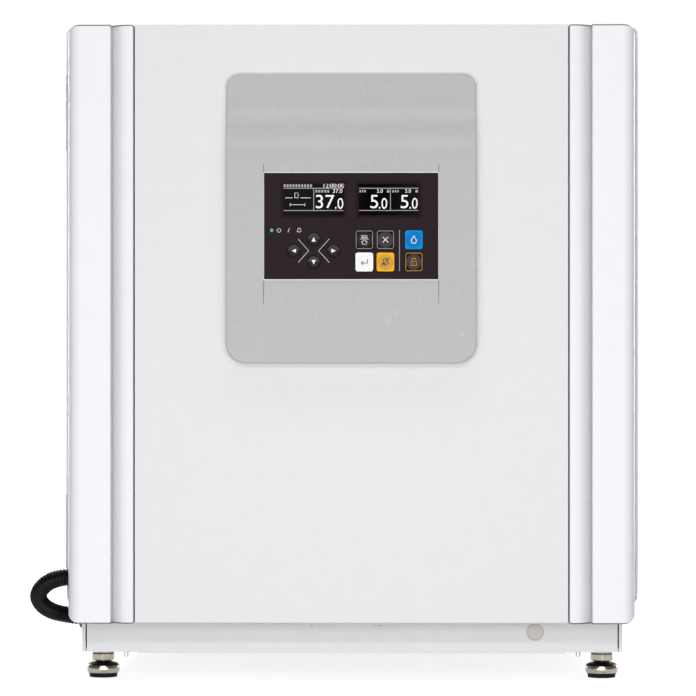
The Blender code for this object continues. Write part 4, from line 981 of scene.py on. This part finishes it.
def hinges():
    x, y = -0.2368, -0.2165
    barrel, sheet, end = 0.0027, 0.0014, -0.2175
    reach = barrel - sheet
    meet = degrees(asin(reach / barrel))
    cabinet_leaf = [(end, y + reach), (end, y + barrel), *arc((x, y), barrel, 90, 360 + meet, 30)]
    door_leaf = [(u, 2 * y - v) for u, v in reversed(cabinet_leaf)]
    far = barrel + 0.001

    def gap(bottom, top):
        return box("gap", (x - far, y - far, bottom), (x + far, y + far, top), 0)

    for name, low, high in (("lower", 0.0943, 0.1549), ("upper", 0.4435, 0.5055)):
        third = (high - low) / 3
        leaf = plate(f"hinge_{name}", [cabinet_leaf], "Z", low, high)
        leaf = cut(leaf, gap(low + third - 0.0003, high - third + 0.0003))
        leaf = cut(leaf, rod("pin", (x, y, low + 0.001), (x, y, high - 0.001), 0.0014), "UNION")
        rounded(leaf, 0.0002, 2, 50)
        put(leaf, HINGE_GREY, CASE, f"hinge_{name}_cabinet")
        leaf = plate(f"hinge_{name}_door", [door_leaf, circle((x, y), 0.0017)], "Z", low, high)
        leaf = cut(leaf, gap(low - 0.001, low + third))
        leaf = cut(leaf, gap(high - third, high + 0.001))
        rounded(leaf, 0.0002, 2, 50)
        put(leaf, HINGE_GREY, DOOR, f"hinge_{name}_door")
        for z in (low + 0.01, (low + high) / 2, high - 0.01):
            screw("hinge_screw", (-0.224, -0.2152, z), FRONTWARD, 0.002, CASE)


def lock():
    x, y = -0.0043, -0.188
    bar, tongue, behind = 0.0352, 0.01, DOOR_BACK - 0.002
    outline = [
        (x - bar, -0.248), (x + bar, -0.248), (x + bar, behind), (x + tongue, behind),
        (x + tongue, -0.178), (x - tongue, -0.178), (x - tongue, behind), (x - bar, behind),
    ]
    strike = plate("strike", [outline, circle((x, y), 0.0045)], "Z", *STRIKE_Z, 0.0002, 2)
    put(strike, SATIN_STEEL, DOOR, "lock_strike")
    for offset in (-0.0286, 0.0286):
        screw("strike_screw", (x + offset, -0.24, STRIKE_Z[0]), DOWN, 0.0026, DOOR)
    pin = mm((0, 18.8), (2.2, 18.8), (3.2, 17.6), (3.2, 0), (0, 0))
    pin = turned("lock_pin", pin, (x, y, 0.0285), UP)
    put(pin, STEEL, "lock_pin", "door_lock_pin")


# ---- Chamber ----


def tray(name, low, high, opening, wall, corner, rim=0.0, outward=False):
    """A sheet metal box without the side that the opening points to, with an outward rim if wanted."""
    low, high, opening = Vector(low), Vector(high), Vector(opening)
    build = block(low, high)
    lid = [face for face in build.faces if face.normal.dot(opening) > 0.9]
    bmesh.ops.delete(build, geom=lid, context="FACES_ONLY")
    edges = [e for e in build.edges if abs((e.verts[1].co - e.verts[0].co).normalized().dot(opening)) > 0.9]
    bmesh.ops.bevel(build, geom=edges, offset=corner, segments=8, profile=0.5, affect="EDGES")
    if rim:
        mouth = [edge for edge in build.edges if edge.is_boundary]
        grown = bmesh.ops.extrude_edge_only(build, edges=mouth)["geom"]
        middle, half = (low + high) / 2, (high - low) / 2
        for vert in (item for item in grown if isinstance(item, bmesh.types.BMVert)):
            for axis in (0, 2):
                vert.co[axis] = middle[axis] + (vert.co[axis] - middle[axis]) * (1 + rim / half[axis])
    bmesh.ops.recalc_face_normals(build, faces=build.faces)
    floor = min(build.faces, key=lambda face: face.calc_center_median().dot(opening))
    if floor.normal.dot(opening) > 0:
        bmesh.ops.reverse_faces(build, faces=build.faces)
    obj = built(name, build)
    solid = obj.modifiers.new("sheet", "SOLIDIFY")
    solid.thickness = wall
    solid.offset = 1 if outward else -1
    solid.use_even_offset = True
    return frozen(obj)


def chamber():
    low, high = (-0.175, -0.195, 0.113), (0.175, 0.185, 0.488)
    body = tray("chamber", low, high, FRONTWARD, 0.001, 0.012, 0.0215, True)
    body = cut(body, rod("port_opening", (-0.156, 0.18, 0.44), (-0.156, 0.2, 0.44), 0.0176))
    body = cut(body, rod("shaft_opening", (0, 0.18, FAN_Z), (0, 0.2, FAN_Z), 0.0055))
    put(body, STAINLESS, CASE, "inner_chamber", sharp=30)
    rings = [rectangle((-0.175 - g, 0.113 - g), (0.175 + g, 0.488 + g), 0.008 + g) for g in (0.011, 0.003)]
    put(plate("inner_seal", rings, "Y", -0.1992, -0.1953, 0.0012), GREY_RUBBER, CASE, "inner_gasket")

    for side, name in ((-1, "left"), (1, "right")):
        outline = [(0.1745, 0.13), (0.1733, 0.13)]
        for z in SHELF_HEIGHTS:
            low, high = z - 0.0015, z - 0.0003
            outline += [(0.1733, low), (0.146, low), (0.146, high), (0.1733, high)]
        outline += [(0.1733, 0.475), (0.1745, 0.475)]
        outline = [(side * u, v) for u, v in outline]
        rack = plate(f"rack_{name}", [outline], "Y", -0.145, 0.145, 0.0003, 2)
        put(rack, STAINLESS, CASE, f"shelf_rack_{name}")
        for z in (0.16, 0.45):
            for y in (-0.12, 0.12):
                screw("rack_screw", (side * 0.1733, y, z), (-side, 0, 0), 0.003, CASE)


def shelves():
    slots = []
    step_x, step_y = (0.314 - 0.032) / 3, (0.3 - 0.032) / 8
    for column in range(3):
        for row in range(8):
            x = -0.157 + 0.016 + step_x * (column + 0.5)
            y = -0.152 + 0.016 + step_y * (row + 0.5)
            half_x, half_y = step_x / 2 - 0.005, step_y / 2 - 0.009
            slots.append(rectangle((x - half_x, y - half_y), (x + half_x, y + half_y), half_y * 0.98, 6))
    edge = rectangle((-0.157, -0.152), (0.157, 0.148), 0.008)
    inner = rectangle((-0.1558, -0.1508), (0.1558, 0.1468), 0.0068)
    names = ("lower", "middle", "upper")
    for number, (z, body) in enumerate(zip(SHELF_HEIGHTS, names), 1):
        sheet = plate(f"shelf_sheet_{number}", [edge, *slots], "Z", z, z + 0.0012, 0.0002, 1)
        put(sheet, STAINLESS_FLAT, f"shelf_{body}", f"shelf_{number}")
        rim = plate(f"shelf_rim_{number}", [edge, inner], "Z", z + 0.0008, z + 0.009, 0.0004, 2)
        put(rim, STAINLESS_FLAT, f"shelf_{body}")
    pan = tray("pan", (-0.14, -0.145, 0.1133), (0.14, 0.13, 0.143), UP, 0.0012, 0.015)
    put(pan, STAINLESS_FLAT, "tray", "humidity_tray", sharp=30)
    rim = [(x, y, 0.143) for x, y in rectangle((-0.1398, -0.1448), (0.1398, 0.1298), 0.0148)]
    put(wire("pan_rim", [rim], 0.0011, True), STAINLESS_FLAT, "tray")
    grip = [(x, y, 0.132) for x, y in mm((-30, -145.5), (-30, -150), (30, -150), (30, -145.5))]
    put(wire("pan_grip", [grip], 0.0016), STEEL, "tray")


def air_system():
    front_y = 0.157
    duct = tray("duct", (-0.135, front_y, 0.13), (0.135, 0.1847, 0.48), BACKWARD, 0.001, 0.008)
    duct = cut(duct, rod("intake", (0, 0.147, FAN_Z), (0, 0.167, FAN_Z), 0.038, 64))
    for column in range(6):
        x = -0.1125 + 0.04 * column
        hole = plate("outlet", [rectangle((x, 0.145), (x + 0.025, 0.151), 0.0028)], "Y", 0.147, 0.167)
        duct = cut(duct, hole)
    put(duct, STAINLESS, CASE, "fan_duct", sharp=30)
    rings = [circle((0, FAN_Z), radius, 64) for radius in (0.01, 0.018, 0.026, 0.034)]
    draw("intake_grille", rings, front_y - 0.0006, 0.0007, STEEL, CASE, True)
    spokes = []
    for i in range(4):
        u, v = 0.0385 * cos(pi * i / 4), 0.0385 * sin(pi * i / 4)
        spokes.append([(-u, FAN_Z - v), (u, FAN_Z + v)])
    draw("intake_spokes", spokes, front_y - 0.0006, 0.0008, STEEL, CASE)
    profile = mm((0, 6), (4, 6), (4.8, 5), (4.8, 1.5), (3, 0.8), (3, 0), (0, 0))
    for x in (-0.122, 0.122):
        for z in (0.142, 0.468):
            knob = turned("duct_screw", profile, (x, front_y, z), FRONTWARD, 32)
            put(knob, STEEL, CASE)

    disc = front_y + 0.02
    blades = []
    outer = [(0.03, 0), (0.034, 0.1), (0.038, 0.22), (0.0405, 0.34)]
    inner = [(radius, lag + 0.03) for radius, lag in reversed(outer)]
    for number in range(24):
        a = tau * number / 24
        outline = [(r * cos(a + lag), FAN_Z + r * sin(a + lag)) for r, lag in outer + inner]
        blades.append(plate("blade", [outline], "Y", front_y + 0.005, disc + 0.0003))
    rim = [circle((0, FAN_Z), radius) for radius in (0.0412, 0.03)]
    rim = plate("wheel_rim", rim, "Y", front_y + 0.0045, front_y + 0.0058)
    wheel = joined("wheel_blades", [*blades, rim])
    put(wheel, WHITE_PLASTIC, "fan", "fan_impeller")
    hub = mm((0, -12), (6, -11.5), (11, -8), (12.5, -1), (41.5, 0), (41.5, 2), (3, 2), (3, 23), (0, 23))
    put(turned("wheel_hub", hub[::-1], (0, disc, FAN_Z), BACKWARD), WHITE_PLASTIC, "fan")
    dress("fan_motor", BLACK_PLASTIC, 0.0008)

    lamp_y = front_y + 0.014
    tube = turned("lamp_tube", mm((0, 83), (7.5, 83), (7.5, -83), (0, -83)), (0, lamp_y, 0.3), (1, 0, 0))
    put(tube, LAMP_GLASS, CASE, "uv_lamp")
    for sign in (-1, 1):
        cap = mm((0, 100), (9, 100), (10, 99), (10, 82), (7.8, 82), (0, 82))
        put(turned("lamp_cap", cap, (0, lamp_y, 0.3), (sign, 0, 0)), STEEL, CASE)
    sensor = mm((0, 0), (14, 0), (14, -14), (13.2, -16), (10, -20), (10, -38), (9, -40), (0, -40))
    put(turned("sensor", sensor, (0.115, 0.11, 0.4877), UP), GREY_PLASTIC, CASE, "gas_sensor")
    vents = []
    for i in range(10):
        a = tau * i / 10
        u, v = 0.0101 * cos(a), 0.0101 * sin(a)
        vents.append([(0.115 + u, 0.11 + v, 0.4527), (0.115 + u, 0.11 + v, 0.4637)])
    put(wire("sensor_vents", vents, 0.0009), BLACK_PLASTIC, CASE)


def inner_door():
    low, high = 0.097, 0.504
    pane = [rectangle((-0.1918, low), (0.1918, high), 0.006), circle((0.178, 0.3), 0.0042)]
    pane = plate("pane", pane, "Y", -0.2045, -0.1995, 0.0008)
    put(pane, GLASS, "inner_door", "inner_door_glass")
    dress("inner_hinge_rail", STAINLESS, 0.0003)
    knob = mm((0, 8.2), (5, 8.2), (7.8, 7.4), (9, 5.5), (9, 0.6), (8.6, 0), (3.8, 0), (3.8, -8), (0, -8))
    knob = turned("latch_knob", knob, (0.178, -0.2075, 0.3), FRONTWARD)
    put(knob, BLACK_PLASTIC, "inner_latch", "inner_door_latch")
    finger = box("latch_finger", (0.1755, -0.2124, 0.3), (0.1805, -0.2094, 0.3185), 0.0009, 3)
    put(finger, BLACK_PLASTIC, "inner_latch")


# ---- Back ----


def back():
    cover = tray("cover", (-0.1, 0.2612, 0.12), (0.1, 0.274, 0.4), FRONTWARD, 0.0012, 0.004)
    for row in range(9):
        z = 0.3 + 0.01 * row
        slot = plate("louvre", [rectangle((-0.07, z), (0.07, z + 0.004), 0.0019)], "Y", 0.262, 0.29)
        cover = cut(cover, slot)
    put(cover, WHITE_PAINT, CASE, "rear_cover")
    for x in (-0.092, 0.092):
        for z in (0.128, 0.392):
            screw("cover_screw", (x, 0.2738, z), BACKWARD, 0.0026, CASE)
    for x in (-0.228, 0.228):
        for z in (0.08, 0.23, 0.38, 0.53):
            screw("panel_screw", (x, 0.2608, z), BACKWARD, 0.003, CASE)

    dress("power_inlet", BLACK_PLASTIC, 0.0004)
    for x, z in ((0.139, 0.1045), (0.1325, 0.0965), (0.1455, 0.0965)):
        blade = box("inlet_blade", (x - 0.001, 0.2618, z - 0.003), (x + 0.001, 0.268, z + 0.003), 0.0003)
        put(blade, BRASS, CASE)
    dress("power_rocker", BLACK_PLASTIC, 0.0003)
    gas = box("gas_block", (0.13, 0.2612, 0.44), (0.19, 0.266, 0.464), 0.0008, 3)
    put(gas, BRASS, CASE, "gas_inlet_block")
    for x in (0.145, 0.175):
        barb = [(0, 0.01), (0.0022, 0.01)]
        for k in range(3):
            barb += [(r, h - 0.0026 * k) for r, h in mm((3, 9.4), (4.2, 7.6), (2.8, 7.4))]
        barb += [(0.0028, 0), (0, 0)]
        put(turned("gas_barb", barb, (x, 0.2638, 0.452), BACKWARD, 32), BRASS, CASE)
    sleeve = mm((20.7, 78.5), (20.7, 77), (16.2, 76.5), (16.2, -0.8), (15, -0.8), (15, 78.5))
    sleeve = turned("sleeve", sleeve, (-0.156, 0.185, 0.44), BACKWARD, ring=True)
    put(sleeve, WHITE_PLASTIC, CASE, "access_port_sleeve")
    plug = mm(
        (0, 9.2), (12, 9.2), (13, 10), (17.8, 10), (19.2, 8.8), (19.5, 7.5), (19.5, 3), (19, 2.4),
        (14.5, 2.4), (13.5, -55), (0, -55),
    )
    plug = turned("port_plug", plug, (-0.156, 0.2615, 0.44), BACKWARD)
    put(plug, GREY_RUBBER, "port_plug", "access_port_plug")


# ---- Studio ----


def area_light(name, place, target, size, power):
    light = bpy.data.lights.new(name, "AREA")
    light.shape = "RECTANGLE"
    light.size, light.size_y = size
    light.energy = power
    obj = shape(name, light)
    obj.location = place
    obj.rotation_mode = "QUATERNION"
    obj.rotation_quaternion = (Vector(target) - Vector(place)).to_track_quat("-Z", "Y")


def surface(name, build, base, emission):
    """A part of the studio that glows a little and gives no light of its own to the object."""
    obj = built(name, build)
    made = bpy.data.materials.new(name)
    made.use_nodes = True
    shader = made.node_tree.nodes["Principled BSDF"].inputs
    shader["Base Color"].default_value = (base, base, base, 1)
    shader["Roughness"].default_value = 0.9
    shader["Specular IOR Level"].default_value = 0.0
    shader["Emission Color"].default_value = (1, 1, 1, 1)
    shader["Emission Strength"].default_value = emission
    obj.data.materials.append(made)
    obj.visible_diffuse = False
    return obj


def studio():
    scene = bpy.context.scene
    scene.view_settings.view_transform = "Standard"
    world = bpy.data.worlds.new("studio")
    scene.world = world
    world.use_nodes = True
    background = world.node_tree.nodes["Background"]
    background.inputs["Color"].default_value = (1, 1, 1, 1)
    background.inputs["Strength"].default_value = 0.18
    build = bmesh.new()
    bmesh.ops.create_grid(build, x_segments=1, y_segments=1, size=1.1)
    ground = surface("floor", build, 0.9, 0.7)
    build = bmesh.new()
    bmesh.ops.create_uvsphere(build, u_segments=48, v_segments=24, radius=28)
    backdrop = surface("backdrop", build, 0.0, 1.0)
    backdrop.visible_glossy = False
    backdrop.visible_shadow = False
    for sign in (-1, 1):
        area_light("front", (0.6 * sign, -3.9, 0.5), (0, -0.2, 0.28), (1.1, 0.9), 20)
        area_light("rim", (1.5 * sign, 1.6, 0.6), (0.2 * sign, -0.2, 0.3), (0.5, 1.4), 28)
    area_light("band", (0, -4.2, 1.62), (0, -0.2, 0.4), (1.8, 0.3), 28)
    area_light("low", (0, -1.6, 0.06), (0, -0.2, 0.1), (1.6, 0.08), 7)
    area_light("overhead", (0, 0.5, 2.4), (0, 0.5, 0), (1.0, 1.0), 12)
    area_light("top", (0, -0.9, 2.4), (0, -0.2, 0.3), (2.0, 0.5), 10)

    camera = bpy.data.cameras.new("camera")
    camera.sensor_width = 36
    camera.lens = 172.86
    camera.clip_end = 100
    obj = shape("camera", camera)
    obj.location = (0.03, -3.012, 0.2777)
    obj.rotation_euler = (pi / 2, 0, radians(0.6816))
    scene.camera = obj


door()
housing()
overlay()
displays()
keys()
conduit()
cabinet()
feet()
hinges()
lock()
chamber()
shelves()
air_system()
inner_door()
back()
studio()
